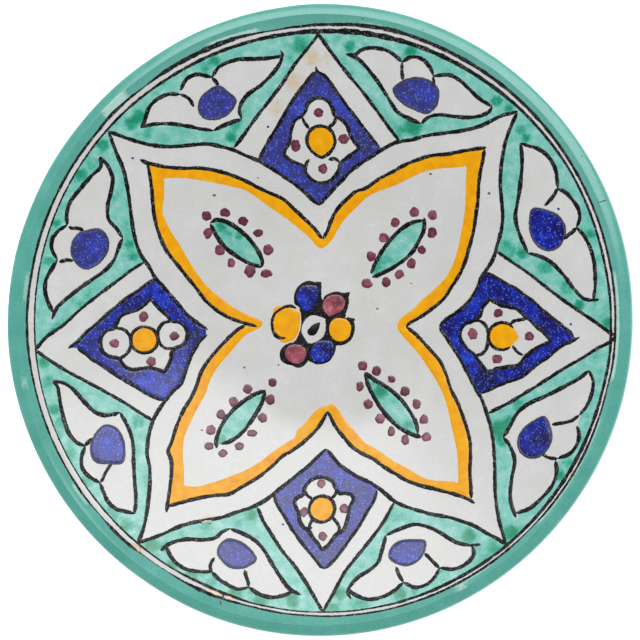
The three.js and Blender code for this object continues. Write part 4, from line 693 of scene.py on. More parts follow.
def smooth_line(points, closed=False, step=0.45):
    """Evenly spaced points on a centripetal Catmull-Rom curve through the points."""
    p = np.array(points, float)
    if closed:
        p = np.concatenate([p[-1:], p, p[:2]])
    else:
        p = np.concatenate([[2 * p[0] - p[1]], p, [2 * p[-1] - p[-2]]])
    dense = []
    for a, b, c, d in zip(p[:-3], p[1:-2], p[2:-1], p[3:]):
        ta = 0.0
        tb = ta + math.sqrt(max(np.hypot(*(b - a)), 1e-6))
        tc = tb + math.sqrt(max(np.hypot(*(c - b)), 1e-6))
        td = tc + math.sqrt(max(np.hypot(*(d - c)), 1e-6))
        count = max(3, int(np.hypot(*(c - b)) / (step * 0.5)))
        t = np.linspace(tb, tc, count, endpoint=False)[:, None]
        ab = (tb - t) / (tb - ta) * a + (t - ta) / (tb - ta) * b
        bc = (tc - t) / (tc - tb) * b + (t - tb) / (tc - tb) * c
        cd = (td - t) / (td - tc) * c + (t - tc) / (td - tc) * d
        abc = (tc - t) / (tc - ta) * ab + (t - ta) / (tc - ta) * bc
        bcd = (td - t) / (td - tb) * bc + (t - tb) / (td - tb) * cd
        dense.append((tc - t) / (tc - tb) * abc + (t - tb) / (tc - tb) * bcd)
    dense.append(p[-2:-1])
    dense = np.concatenate(dense)
    along = np.concatenate([[0], np.cumsum(np.hypot(*np.diff(dense, axis=0).T))])
    count = max(4, round(along[-1] / step))
    even = np.linspace(0, along[-1], count + 1)
    line = np.stack([np.interp(even, along, dense[:, k]) for k in (0, 1)], axis=1)
    return line[:-1] if closed else line


def joined_outline(strokes):
    """One closed outline from strokes that run end to end."""
    return np.concatenate([smooth_line(stroke)[:-1] for stroke in strokes])


def wander(points, size, scale, seed):
    """Gentle noise along a line, the same on every run."""
    return np.array([noise.noise(Vector((x / scale, y / scale, seed))) for x, y in points]) * size


def sides_of(line, closed=True):
    """The direction to the left of the line at each of its points, one unit long."""
    along = np.roll(line, -1, axis=0) - np.roll(line, 1, axis=0) if closed else np.gradient(line, axis=0)
    along = along / np.maximum(np.hypot(*along.T), 1e-9)[:, None]
    return np.stack([-along[:, 1], along[:, 0]], axis=1)


def distance_to(points, rings):
    """The distance from each point to the nearest of some closed outlines."""
    best = np.full(len(points), 1e9)
    for ring in rings:
        d = np.roll(ring, -1, axis=0) - ring
        length = np.maximum((d * d).sum(1), 1e-9)
        for start in range(0, len(points), 512):
            p = points[start:start + 512, None, :]
            t = np.clip(((p - ring) * d).sum(2) / length, 0, 1)
            gap = p - (ring + t[..., None] * d)
            near = np.sqrt((gap * gap).sum(2).min(1))
            best[start:start + 512] = np.minimum(best[start:start + 512], near)
    return best


def enclosed(points, ring):
    """Even-odd test: which points lie inside a closed outline."""
    x, y = points[:, 0][:, None], points[:, 1][:, None]
    ax, ay = ring[:, 0], ring[:, 1]
    bx, by = np.roll(ax, -1), np.roll(ay, -1)
    crosses = (ay > y) != (by > y)
    with np.errstate(divide="ignore", invalid="ignore"):
        at = ax + (y - ay) * (bx - ax) / (by - ay)
    return (crosses & (x < at)).sum(1) % 2 == 1


def within(points, rings):
    """Which points lie inside the first outline and outside the others."""
    inside = [enclosed(points, ring) for ring in rings]
    return inside[0] & ~np.any(inside[1:], axis=0)


# -------------------------------------------------------------------------- paint
def field_points(rings):
    """Points for the inside of a field: a row just inside every edge, then a loose grid."""
    low, high = rings[0].min(0), rings[0].max(0)
    loose = []
    for k, y in enumerate(np.arange(low[1], high[1], GRID * 0.866)):
        xs = np.arange(low[0] + (k % 2) * GRID / 2, high[0], GRID)
        loose.append(np.stack([xs, np.full(len(xs), y)], axis=1))
    brink = [(ring + sign * 0.3 * sides_of(ring))[::2] for ring in rings for sign in (-1, 1)]
    kept = []
    for points, clearance in ((np.concatenate(brink), 0.2), (np.concatenate(loose), 0.5)):
        points = points[within(points, rings)]
        kept.append(points[distance_to(points, rings) > clearance])
    return np.concatenate(kept)


def triangulated(rings, inner_points):
    """Points and upward triangles that fill the area between the outlines."""
    points = [Vector(p) for ring in rings for p in ring] + [Vector(p) for p in inner_points]
    edges = []
    first = 0
    for ring in rings:
        count = len(ring)
        edges += [(first + i, first + (i + 1) % count) for i in range(count)]
        first += count
    found, _, tris, *_ = geometry.delaunay_2d_cdt(points, edges, [], 0, 1e-5)
    found = np.array([tuple(p) for p in found])
    tris = np.array(tris)
    tris = tris[within(found[tris].mean(axis=1), rings)]
    a, b, c = (found[tris[:, k]] for k in range(3))
    turn = (b[:, 0] - a[:, 0]) * (c[:, 1] - a[:, 1]) - (b[:, 1] - a[:, 1]) * (c[:, 0] - a[:, 0])
    solid = np.abs(turn) > 1e-6
    tris, turn = tris[solid], turn[solid]
    tris[turn < 0] = tris[turn < 0][:, ::-1]
    used = np.unique(tris)
    lookup = np.full(len(found), -1)
    lookup[used] = np.arange(len(used))
    return found[used], lookup[tris]


def on_border(count, tris):
    """Which points lie on an edge that only one triangle has."""
    sides = np.sort(np.concatenate([tris[:, [0, 1]], tris[:, [1, 2]], tris[:, [2, 0]]]), axis=1)
    sides, uses = np.unique(sides, axis=0, return_counts=True)
    border = np.zeros(count, bool)
    border[sides[uses == 1].ravel()] = True
    return border


def add_film(builder, outer, holes=(), height=FILM_HEIGHT):
    """A closed lens of glaze over the area inside outer and outside the holes."""
    rings = [np.asarray(outer)] + [np.asarray(hole) for hole in holes]
    found, tris = triangulated(rings, field_points(rings))
    border = on_border(len(found), tris)
    gap = np.where(border, 0, distance_to(found, rings))
    ground = surface_height(found[:, 0], found[:, 1])
    rise = SUNK + (height - SUNK) * np.sqrt(np.clip(gap / 0.35, 0, 1))
    top = np.column_stack([found, ground + rise])
    below = np.where(~border)[0]
    bottom = np.column_stack([found[below], ground[below] + SUNK - 0.03])
    partner = np.arange(len(found))
    partner[below] = len(found) + np.arange(len(below))
    faces = [tuple(t) for t in tris] + [tuple(partner[t[::-1]]) for t in tris]
    builder.add(np.concatenate([top, bottom]), faces, pooling(np.concatenate([found, found[below]])))


def pooling(points):
    """How deep the glaze is at each point, from the pools and thin places."""
    depth = np.zeros(len(points))
    for x, y, radius, amount in POOLS:
        gap = np.hypot(points[:, 0] - x, points[:, 1] - y) / (0.8 * radius)
        depth += amount * np.exp(-gap ** 4 * 0.6)
    return depth


def add_ribbon(builder, points, width, seed, closed=False, taper=1.6, height=INK_HEIGHT,
               unsteady=0.12):
    """A raised brush line along the points; its width wanders a little and its ends taper."""
    line = smooth_line(points, closed, RIBBON_STEP)
    count = len(line)
    side = sides_of(line, closed)
    wide = np.broadcast_to(np.asarray(width, float), count) / 2
    wide = wide * (1 + wander(line, 2.4 * unsteady, 2.6, seed))
    # The foot of the raised edge is under the glaze, so the ribbon is a little wider there.
    wide = wide * 1.06 + 0.03
    left = wide * (1 + wander(line, unsteady, 0.8, seed + 7)) + wander(line, 0.16, 0.33, seed + 3)
    right = wide * (1 + wander(line, unsteady, 0.8, seed + 13)) + wander(line, 0.16, 0.33, seed + 5)
    strength = np.ones(count)
    if not closed:
        travelled = np.concatenate([[0], np.cumsum(np.hypot(*np.diff(line, axis=0).T))])
        for distance in (travelled, travelled[-1] - travelled):
            strength = np.minimum(strength, np.sqrt(np.clip(distance / taper + 0.04, 0, 1)))
    left, right = left * strength, right * strength
    crown = height * (0.4 + 0.6 * strength)
    rows = []
    for across, rise in ((left, SUNK), (left * 0.72, 0.8 * crown), (0 * left, crown),
                         (-right * 0.72, 0.8 * crown), (-right, SUNK)):
        x, y = (line + side * across[:, None]).T
        rows.append(np.stack([x, y, surface_height(x, y) + rise], axis=1))
    n = len(rows)
    faces = []
    for i in range(count if closed else count - 1):
        j = (i + 1) % count
        for k in range(n):
            m = (k + 1) % n
            faces.append((i * n + k, i * n + m, j * n + m, j * n + k))
    if not closed:
        faces.append(tuple(range(n))[::-1])
        faces.append(tuple((count - 1) * n + k for k in range(n)))
    builder.add(np.stack(rows, axis=1).reshape(-1, 3), faces)


def add_blob(builder, x, y, wide, tall, seed, height=0.1, rough=0.11, turn=0.0):
    """A dab of thick colour with an uneven outline."""
    spokes = 28
    shares = (0.0, 0.35, 0.68, 0.9, 1.0)
    angle = np.linspace(0, 2 * math.pi, spokes, endpoint=False)
    wave = np.array([noise.noise(Vector((math.cos(a) * 1.6 + 9.3 * seed, math.sin(a) * 1.6, seed)))
                     for a in angle])
    reach = 1 + 2.2 * rough * wave
    points, edge = [], []
    for share in shares:
        out = np.cos(angle) * share * reach * wide / 2
        along = np.sin(angle) * share * reach * tall / 2
        px = x + out * math.cos(turn) - along * math.sin(turn)
        py = y + out * math.sin(turn) + along * math.cos(turn)
        rise = SUNK + (height - SUNK) * math.sqrt(max(0, 1 - share ** 4))
        ring = np.column_stack([px, py, surface_height(px, py) + rise])
        if share == 0:
            ring = ring[:1]
        points.append(ring)
        edge += [1 - share] * len(ring)
    points.append([[x, y, float(surface_height(np.float64(x), np.float64(y))) - 0.12]])
    edge.append(0)
    points = np.concatenate(points)
    last = len(points) - 1
    faces = [(0, 1 + i, 1 + (i + 1) % spokes) for i in range(spokes)]
    for a in range(1, last - spokes, spokes):
        b = a + spokes
        faces += [(a + i, b + i, b + (i + 1) % spokes, a + (i + 1) % spokes) for i in range(spokes)]
    rim = last - spokes
    faces += [(last, rim + (i + 1) % spokes, rim + i) for i in range(spokes)]
    builder.add(points, faces, 1.2 * noise.noise(Vector((seed, 2.5, 0))) - 0.8 * np.array(edge) + 0.3)


# ------------------------------------------------------------------------ materials
LIGHT_LEVEL = 1.06


def paint(red, green, blue):
    """The albedo that shows as this 8-bit colour in the scene's light."""
    linear = []
    for value in (red, green, blue):
        v = value / 255
        v = v / 12.92 if v <= 0.04045 else ((v + 0.055) / 1.055) ** 2.4
        linear.append(min(v / LIGHT_LEVEL, 0.97))
    return (*linear, 1.0)


class Finish:
    """A glaze material built from noise in the plate's own coordinates."""

    def __init__(self, name, roughness=0.28, specular=0.5):
        self.material = bpy.data.materials.new(name)
        self.material.use_nodes = True
        self.tree = self.material.node_tree
        self.shader = self.tree.nodes["Principled BSDF"]
        self.shader.inputs["Roughness"].default_value = roughness
        self.shader.inputs["Specular IOR Level"].default_value = specular
        self.place = self.node("ShaderNodeTexCoord").outputs["Object"]

    def node(self, kind, **settings):
        made = self.tree.nodes.new(kind)
        for key, value in settings.items():
            setattr(made, key, value)
        return made

    def feed(self, socket, value):
        """Links a socket to another one, or sets its value."""
        if isinstance(value, bpy.types.NodeSocket):
            self.tree.links.new(value, socket)
        else:
            socket.default_value = value

    def grain(self, size, detail=2.0, shift=0.0):
        """Noise whose features are about size millimetres across."""
        moved = self.node("ShaderNodeVectorMath", operation="ADD")
        self.feed(moved.inputs[0], self.place)
        moved.inputs[1].default_value = (shift, shift * 0.7, shift * 0.3)
        made = self.node("ShaderNodeTexNoise")
        self.feed(made.inputs["Vector"], moved.outputs[0])
        made.inputs["Scale"].default_value = 1 / (size * MM)
        made.inputs["Detail"].default_value = detail
        return made.outputs["Fac"]

    def cells(self, size, output="Color"):
        """Cells about size millimetres across: a colour for each, or the distance to its middle."""
        made = self.node("ShaderNodeTexVoronoi")
        self.feed(made.inputs["Vector"], self.place)
        made.inputs["Scale"].default_value = 1 / (size * MM)
        return made.outputs[output]

    def value(self, key):
        """A value that the mesh holds at its points."""
        return self.node("ShaderNodeAttribute", attribute_name=key).outputs["Fac"]

    def sum(self, *terms, offset=0.0):
        """offset plus each (weight, socket) pair."""
        total = offset
        for weight, socket in terms:
            made = self.node("ShaderNodeMath", operation="MULTIPLY_ADD")
            self.feed(made.inputs[0], socket)
            made.inputs[1].default_value = weight
            self.feed(made.inputs[2], total)
            total = made.outputs[0]
        return total

    def ramp(self, factor, *stops):
        """A ramp through (position, colour or grey level) stops."""
        made = self.node("ShaderNodeValToRGB")
        self.feed(made.inputs[0], factor)
        elements = made.color_ramp.elements
        while len(elements) < len(stops):
            elements.new(0.5)
        for element, (position, _) in zip(elements, stops):
            element.position = position
        for element, (_, colour) in zip(elements, stops):
            element.color = colour if isinstance(colour, tuple) else (colour, colour, colour, 1)
        return made.outputs["Color"]

    def mix(self, factor, first, second):
        made = self.node("ShaderNodeMix", data_type="RGBA")
        self.feed(made.inputs[0], factor)
        self.feed(made.inputs[6], first)
        self.feed(made.inputs[7], second)
        return made.outputs[2]

    def colour(self, socket):
        self.feed(self.shader.inputs["Base Color"], socket)

    def rough(self, socket, low, high):
        self.feed(self.shader.inputs["Roughness"], self.ramp(socket, (0.3, low), (0.7, high)))

    def bump(self, socket, height, strength=1.0):
        """A fine relief of about height millimetres."""
        made = self.node("ShaderNodeBump")
        made.inputs["Strength"].default_value = strength
        made.inputs["Distance"].default_value = height * MM
        self.feed(made.inputs["Height"], socket)
        self.feed(self.shader.inputs["Normal"], made.outputs[0])


def white_glaze():
    """White tin glaze, a little cloudy, with faint stains and pinhole specks."""
    finish = Finish("white_tin_glaze")
    cloud = finish.grain(9, 3)
    fine = finish.grain(0.55, 2, 0.31)
    body = finish.ramp(finish.sum((0.45, cloud), (0.55, fine)), (0.3, paint(205, 205, 203)),
                       (0.5, paint(212, 212, 211)), (0.7, paint(218, 219, 219)))
    stain = finish.sum((1.0, finish.value("stain")), (-0.5, finish.grain(1.6, 2, 0.11)), offset=0.22)
    stained = finish.mix(finish.ramp(stain, (0.05, 0.0), (0.6, 1.0)), body, paint(205, 180, 135))
    speck = finish.ramp(finish.cells(3.4, "Distance"), (0.03, 0.5), (0.055, 0.0))
    finish.colour(finish.mix(speck, stained, paint(150, 130, 112)))
    finish.rough(cloud, 0.2, 0.3)
    finish.bump(finish.sum((0.7, finish.grain(4, 2, 0.5)), (0.3, fine)), 0.045, 0.6)
    return finish.material


def rim_turquoise():
    """The thick even turquoise of the rim, paler where it ran thin."""
    finish = Finish("turquoise_rim_glaze")
    cloud = finish.grain(7, 3)
    fine = finish.grain(0.6, 2, 0.21)
    body = finish.ramp(finish.sum((0.5, cloud), (0.5, fine)), (0.3, paint(80, 160, 148)),
                       (0.5, paint(90, 170, 157)), (0.7, paint(102, 180, 167)))
    pale = finish.sum((1.0, finish.value("pale")), (0.7, finish.grain(0.9, 3, 0.4)), offset=-0.35)
    finish.colour(finish.mix(finish.ramp(pale, (0.15, 0.0), (0.65, 1.0)), body, paint(176, 216, 206)))
    finish.rough(cloud, 0.16, 0.26)
    finish.bump(finish.sum((0.8, finish.grain(5, 2, 0.7)), (0.2, fine)), 0.05, 0.6)
    return finish.material


def turquoise_wash(strength):
    """Thin copper glaze, cloudy where the brush thinned it and green where it pooled."""
    finish = Finish("turquoise_wash_%d" % round(strength * 100))
    cloud = finish.grain(3.0, 4, 0.13)
    fine = finish.grain(0.42, 3, 0.27)
    pool = finish.sum((1.0, finish.value("pool")), (0.8, finish.grain(1.1, 3, 0.61)), offset=-0.4)
    deep = finish.ramp(pool, (0.15, 0.0), (0.75, 1.0))
    depth = finish.sum((0.75, cloud), (0.5, fine), (0.34, deep), (0.12, finish.value("pool")),
                       offset=strength - 0.625)
    finish.colour(finish.ramp(depth, (0.2, paint(180, 222, 217)), (0.4, paint(148, 206, 198)),
                              (0.55, paint(116, 194, 180)), (0.72, paint(72, 175, 152)),
                              (1.0, paint(18, 140, 104))))
    finish.rough(cloud, 0.22, 0.32)
    finish.bump(finish.sum((0.5, cloud), (0.5, fine)), 0.05, 0.7)
    return finish.material


def cobalt(name, painted_veil):
    """Cobalt that is near black where it is thick, with painted glints all over, under a painted veil of
    pale glare.
    """
    finish = Finish(name)
    blotch = finish.grain(2.4, 3, 0.17)
    fine = finish.grain(0.5, 3, 0.37)
    depth = finish.sum((0.7, blotch), (0.5, fine), (0.22, finish.value("pool")), offset=-0.12)
    body = finish.ramp(depth, (0.15, paint(30, 84, 222)), (0.34, paint(18, 44, 180)),
                       (0.5, paint(12, 20, 126)), (0.66, paint(9, 8, 84)), (0.9, paint(8, 3, 44)))
    # Painted glints: small pale cells mixed into the blue.
    glints = finish.sum((-1.0, finish.cells(0.66, "Distance")), (0.5, finish.cells(0.66)),
                        offset=0.34)
    shine = finish.ramp(glints, (0.24, 0.0), (0.56, 0.85))
    sparkling = finish.mix(shine, body, paint(106, 132, 228))
    # Painted glare: a pale veil mixed over the whole colour.
    finish.colour(finish.mix(painted_veil, sparkling, paint(200, 205, 220)))
    finish.rough(fine, 0.18, 0.34)
    finish.bump(finish.sum((0.5, fine), (0.5, blotch)), 0.06, 0.8)
    return finish.material


def saffron():
    """Opaque saffron yellow with a slight cloud."""
    finish = Finish("saffron_yellow", specular=0.3)
    cloud = finish.grain(3.0, 3, 0.19)
    fine = finish.grain(0.5, 2, 0.41)
    depth = finish.sum((0.75, cloud), (0.25, fine))
    finish.colour(finish.ramp(depth, (0.28, paint(250, 184, 24)), (0.45, paint(244, 172, 0)),
                              (0.6, paint(238, 160, 0)), (0.78, paint(226, 138, 0))))
    finish.rough(cloud, 0.26, 0.36)
    finish.bump(finish.sum((0.5, cloud), (0.5, fine)), 0.06, 0.7)
    return finish.material


def dabbed(name, thin, body, dark):
    """Thick colour dabbed on with a brush: darker where it pooled, pale specks in it."""
    finish = Finish(name)
    cloud = finish.grain(1.4, 3, 0.23)
    fine = finish.grain(0.35, 2, 0.43)
    depth = finish.sum((0.7, cloud), (0.45, fine), (0.2, finish.value("pool")), offset=-0.075)
    shade = finish.ramp(depth, (0.25, paint(*thin)), (0.5, paint(*body)), (0.75, paint(*dark)))
    speck = finish.ramp(finish.cells(0.5, "Distance"), (0.12, 0.55), (0.24, 0.0))
    finish.colour(finish.mix(speck, shade, paint(*thin)))
    finish.rough(fine, 0.26, 0.38)
    finish.bump(finish.sum((0.5, cloud), (0.5, fine)), 0.06, 0.8)
    return finish.material


def brush_black(name, pale):
    """Black line with a crystalline break-up that lets pale specks through."""
    finish = Finish(name, specular=0.16)
    fine = finish.grain(0.5, 2, 0.29)
    body = finish.ramp(fine, (0.35, paint(3, 3, 5)), (0.62, paint(20, 20, 24)))
    speck = finish.ramp(finish.cells(0.36), (0.74, 0.0), (0.94, pale))
    thinness = finish.ramp(finish.grain(5, 2, 0.51), (0.5, 0.0), (0.76, 0.3 * pale))
    speckled = finish.mix(speck, body, paint(132, 132, 132))
    finish.colour(finish.mix(thinness, speckled, paint(92, 96, 96)))
    finish.rough(fine, 0.3, 0.42)
    finish.bump(fine, 0.05, 0.7)
    return finish.material


def bud_line():
    """The thin blue-black line round each bud."""
    finish = Finish("bud_line", specular=0.4)
    fine = finish.grain(0.5, 2, 0.29)
    finish.colour(finish.ramp(fine, (0.35, paint(30, 32, 52)), (0.65, paint(78, 82, 104))))
    finish.rough(fine, 0.26, 0.4)
    return finish.material


def bare_clay():
    """Unglazed earthenware with darker grit."""
    finish = Finish("fired_clay", 0.85, 0.25)
    cloud = finish.grain(6, 3, 0.33)
    fine = finish.grain(0.4, 3, 0.47)
    body = finish.ramp(finish.sum((0.5, cloud), (0.5, fine)), (0.3, paint(176, 128, 92)),
                       (0.5, paint(199, 152, 114)), (0.7, paint(216, 174, 137)))
    grit = finish.ramp(finish.cells(1.3, "Distance"), (0.10, 1.0), (0.16, 0.0))
    finish.colour(finish.mix(grit, body, paint(120, 84, 62)))
    finish.bump(finish.sum((0.4, cloud), (0.6, fine)), 0.14, 1.0)
    return finish.material


WHITE = white_glaze()
RIM = rim_turquoise()
WASH = turquoise_wash(0.51)
LEAF_WASH = turquoise_wash(0.52)
COBALT = cobalt("cobalt_blue", 0.0)
# Cobalt with a painted veil of glare mixed into its colour.
COBALT_WITH_PAINTED_GLARE = cobalt("cobalt_with_painted_glare", 0.045)
SAFFRON = saffron()
ROSE = dabbed("rose_pink", (208, 122, 136), (152, 70, 86), (96, 40, 56))
MANGANESE = dabbed("manganese_purple", (150, 88, 106), (104, 42, 62), (70, 16, 34))
BROWN = dabbed("iron_speck", (150, 110, 80), (110, 72, 48), (80, 50, 34))
BARE = dabbed("bare_chip", (238, 218, 196), (224, 198, 168), (176, 140, 108))
BLACK = brush_black("brush_black", 0.95)
THICK_BLACK = brush_black("thick_black", 0.35)
NAVY = bud_line()
CLAY = bare_clay()


# ------------------------------------------------------------------------ the shells
STEPS = 384
BEARINGS = np.linspace(0, 2 * math.pi, STEPS, endpoint=False)
ANGLES = np.degrees(BEARINGS)
RIM_EDGE = true_radius(ANGLES, outer_ring(ANGLES) - 0.1)
FACE_BEND = 84  # from this radius out, the rows of the face follow the uneven edge of the rim
BASE_CEILING = FOOT_RECESS - 0.3


def profile(along):
    """Point and outward normal at a distance along the glazed section, from the middle of
    the face over the lip and down the outside wall."""
    along = np.asarray(along, float)
    ahead, behind = face_height(along + 0.01), face_height(np.maximum(along - 0.01, 0))
    angle = -np.arctan((ahead - behind) / 0.02)
    past = np.clip(along - LIP_START, 0, LIP_LENGTH)
    lip = along > LIP_START
    angle = np.where(lip, np.interp(past, LIP_ALONG, LIP_SLOPE), angle)
    r = np.where(lip, LIP_START + np.interp(past, LIP_ALONG, LIP_OUT), along)
    lip_height = face_height(LIP_START) + np.interp(past, LIP_ALONG, LIP_UP)
    z = np.where(lip, lip_height, face_height(along))
    beyond = np.maximum(along - LIP_START - LIP_LENGTH, 0)
    r = r - beyond * math.cos(FLARE_ANGLE)
    z = z - beyond * math.sin(FLARE_ANGLE)
    return r, z, np.sin(angle), np.cos(angle)


def turned_piece(node, rows, material, values=None):
    """A closed turned piece in place of a CAD node. Each row is (radius, height), numbers or
    one per angle; a row of radius 0 is a pole."""
    points, starts, poles = [], [], []
    numbers = {key: [] for key in values or {}}
    for index, (r, z) in enumerate(rows):
        pole = np.ndim(r) == 0 and r == 0
        r = np.broadcast_to(np.asarray(r, float), STEPS)
        z = np.broadcast_to(np.asarray(z, float), STEPS)
        wide = r + run_out(ANGLES) * drift_weight(r)
        ring = np.column_stack([wide * np.cos(BEARINGS), wide * np.sin(BEARINGS), z])
        starts.append(len(points))
        poles.append(pole)
        points.extend(map(tuple, ring[:1] if pole else ring))
        for key, row_values in (values or {}).items():
            row = np.broadcast_to(row_values[index], STEPS)
            numbers[key].extend(row[:1] if pole else row)
    faces = []
    for k in range(len(rows)):
        m = (k + 1) % len(rows)
        a, b = starts[k], starts[m]
        if poles[k] and poles[m]:
            continue
        for i in range(STEPS):
            j = (i + 1) % STEPS
            if poles[k]:
                faces.append((a, b + i, b + j))
            elif poles[m]:
                faces.append((a + i, b, a + j))
            else:
                faces.append((a + i, b + i, b + j, a + j))
    return make_piece(node + "_fine", points, faces, material, [node], numbers)


def face_row(s):
    """The section of the face at station s; beyond the bend, 94 is just under the rim's edge."""
    if s < FACE_BEND:
        return profile(s)
    return profile(FACE_BEND + (s - FACE_BEND) / 10 * (RIM_EDGE + 0.25 - FACE_BEND))


def staining(x, y):
    """How strong the stains in the white glaze are at each place."""
    stain = np.zeros(len(x))
    for sx, sy, size, depth in GLAZE_STAINS:
        stain = np.maximum(stain, depth * np.exp(-((x - sx) ** 2 + (y - sy) ** 2) / size ** 2))
    return stain


def add_face():
    """The white face, with its underside a glaze's thickness lower."""
    rows, stain_rows = [], []
    for s in np.concatenate([np.arange(0, 84, 2.0), np.linspace(84, 94, 21)]):
        r, z, _, _ = face_row(s)
        rows.append((0 if s == 0 else r, z))
        stain_rows.append(staining(r * np.cos(BEARINGS), r * np.sin(BEARINGS)))
    for s in (94, 93, 92, 91, 90, 88, 84, 60, 36, 20, 0):
        r, z, nr, nz = face_row(s)
        rows.append((0 if s == 0 else r - GLAZE * nr, z - GLAZE * nz))
        stain_rows.append(0.0)
    turned_piece("face_glaze", rows, WHITE, {"stain": stain_rows})


def paleness(r, nz):
    """How thin the rim glaze is at each angle of a row with this radius and upward normal."""
    true_r = r + run_out(ANGLES) * drift_weight(r)
    pale = np.zeros(STEPS)
    for start, end, low, high, depth in RIM_PALE:
        near = np.clip(1 - np.maximum(start - ANGLES, ANGLES - end) / 1.4, 0, 1)
        across = np.clip(1 - np.maximum(low - true_r, true_r - high) / 0.4, 0, 1)
        pale = np.maximum(pale, depth * near * across * (nz > 0.3))
    return pale


def add_rim():
    """The turquoise rim, raised at its brink, with an uneven lower edge on the outside wall."""
    waver = np.array([noise.noise(Vector((math.cos(a) * 5, math.sin(a) * 5, 3.0))) for a in BEARINGS])
    lower = LIP_END + RIM_DROP + 1.4 * waver
    even = np.concatenate([np.linspace(0, 0.35, 38), np.linspace(0.37, 1, 24)])
    # Extra rows where the lip's ridge turns.
    ridge = (LIP_START - RIM_EDGE + np.linspace(1.9, 2.14, 7)[:, None]) / (lower - RIM_EDGE)
    shares = np.sort(np.concatenate([np.tile(even[:, None], STEPS), ridge]), axis=0)
    rows, pale_rows = [], []
    for share in shares:
        reach = RIM_EDGE + (lower - RIM_EDGE) * share
        r, z, nr, nz = profile(reach)
        brink = np.minimum(reach - RIM_EDGE, lower - reach)
        lift = SUNK + 0.09 * np.sqrt(np.clip(brink / 0.5, 0, 1))
        rows.append((r + lift * nr, z + lift * nz))
        pale_rows.append(paleness(r, nz))
    for share in (1, 0.75, 0.5, 0.35, 0.2, 0):
        r, z, nr, nz = profile(RIM_EDGE + (lower - RIM_EDGE) * share)
        rows.append((r - GLAZE * nr, z - GLAZE * nz))
        pale_rows.append(0.0)
    turned_piece("rim_glaze", rows, RIM, {"pale": pale_rows})


def back_piece():
    """The white back, from under the rim's lower edge to just above the foot's edge."""
    rows = []
    for s in LIP_END + RIM_DROP - 1.6 + np.linspace(0, 1, 14) * 43.4:
        r, z, _, _ = profile(s)
        rows.append((float(r), float(z)))
    lowest = rows[-1][1]
    tail = [(FOOT_OUTER + 2.6, lowest - 1.2), (FOOT_OUTER + 1.2, lowest - 2.2),
            (FOOT_OUTER + 0.5, lowest - 3.4), (FOOT_OUTER + 0.15, 3.5), (FOOT_OUTER - 0.1, FOOT_GLAZED)]
    rows = [row for row in rows if row[0] > FOOT_OUTER + 3.4] + tail
    inner = [(r - 0.5, z + GLAZE) for r, z in rows[:-2]] + [(r - GLAZE, z) for r, z in rows[-2:]]
    return turned_piece("back_glaze", rows + inner[::-1], WHITE)


def base_piece():
    """The white recess inside the foot ring."""
    under = [(FOOT_INNER + 0.25, FOOT_GLAZED), (FOOT_INNER - 0.1, 2.8),
             (FOOT_INNER - 0.7, BASE_CEILING - 0.5), (FOOT_INNER - 1.6, BASE_CEILING - 0.08),
             (FOOT_INNER - 4, BASE_CEILING), (20, BASE_CEILING + 0.05), (0, BASE_CEILING)]
    over = [(0, BASE_CEILING + GLAZE), (20, BASE_CEILING + GLAZE),
            (FOOT_INNER - 1.6, BASE_CEILING + GLAZE), (FOOT_INNER + 0.1, BASE_CEILING - 0.2),
            (FOOT_INNER + 0.4, 2.8), (FOOT_INNER + 0.6, FOOT_GLAZED)]
    return turned_piece("base_glaze", under + over, WHITE)


def clay_piece():
    """The clay, bare on the foot's edge."""
    rows = [(0, WELL_HEIGHT - GLAZE - 0.1)]
    for s in (12, 24, 33, 41, 52, 70, 86, 92, LIP_START, 96, 98, 100, 102, 104, LIP_END, LIP_END + 20):
        r, z, nr, nz = profile(s)
        rows.append((float(r - 0.5 * nr), float(z - 0.5 * nz)))
    rows += [(FOOT_OUTER + 3, 10.1), (FOOT_OUTER + 1, 8.7), (FOOT_OUTER, 7.6),
             (FOOT_OUTER - 0.35, 6.4), (FOOT_OUTER - 0.35, 3.5), (FOOT_OUTER - 0.35, 1.1),
             (FOOT_OUTER - 0.6, 0.45), (FOOT_OUTER - 1.2, 0.08), (FOOT_OUTER - 1.9, 0),
             (FOOT_INNER + 2.2, 0), (FOOT_INNER + 1.5, 0.08), (FOOT_INNER + 0.9, 0.45),
             (FOOT_INNER + 0.6, 1.1), (FOOT_INNER + 0.4, 2.8), (FOOT_INNER - 0.6, BASE_CEILING + 0.3),
             (0, BASE_CEILING + 0.3)]
    return turned_piece("clay_body", rows, CLAY)


def wire_holes():
    """Two round bars through the foot ring, as one mesh to cut with."""
    points, faces = [], []
    sides = 24
    upward = np.array([0, 0, 1])
    for side in (-1, 1):
        bearing = math.pi / 2 + side * WIRE_HOLE_SPREAD
        out = np.array([math.cos(bearing), math.sin(bearing), 0])
        across = np.array([-math.sin(bearing), math.cos(bearing), 0])
        first = len(points)
        for reach in (FOOT_INNER - 3, FOOT_OUTER + 3.5):
            for k in range(sides):
                a = 2 * math.pi * k / sides
                spoke = across * math.cos(a) + upward * math.sin(a)
                middle = out * reach + upward * WIRE_HOLE_HEIGHT
                points.append(tuple((middle + WIRE_HOLE_RADIUS * spoke) * MM))
        for k in range(sides):
            m = (k + 1) % sides
            faces.append((first + k, first + m, first + sides + m, first + sides + k))
        faces.append(tuple(range(first, first + sides))[::-1])
        faces.append(tuple(range(first + sides, first + 2 * sides)))
    mesh = bpy.data.meshes.new("wire_holes")
    mesh.from_pydata(points, [], faces)
    return bpy.data.objects.new("wire_holes", mesh)


def drill(pieces):
    """Cuts the two hanging-wire holes through the foot ring."""
    cutter = wire_holes()
    bpy.context.scene.collection.objects.link(cutter)
    for piece in pieces:
        cut = piece.modifiers.new("holes", "BOOLEAN")
        cut.object = cutter
        cut.solver = "EXACT"
        bpy.context.view_layer.update()
        evaluated = piece.evaluated_get(bpy.context.evaluated_depsgraph_get())
        drilled = bpy.data.meshes.new_from_object(evaluated)
        piece.modifiers.clear()
        piece.data = drilled
        drilled.set_sharp_from_angle(angle=math.radians(50))
    bpy.data.objects.remove(cutter)


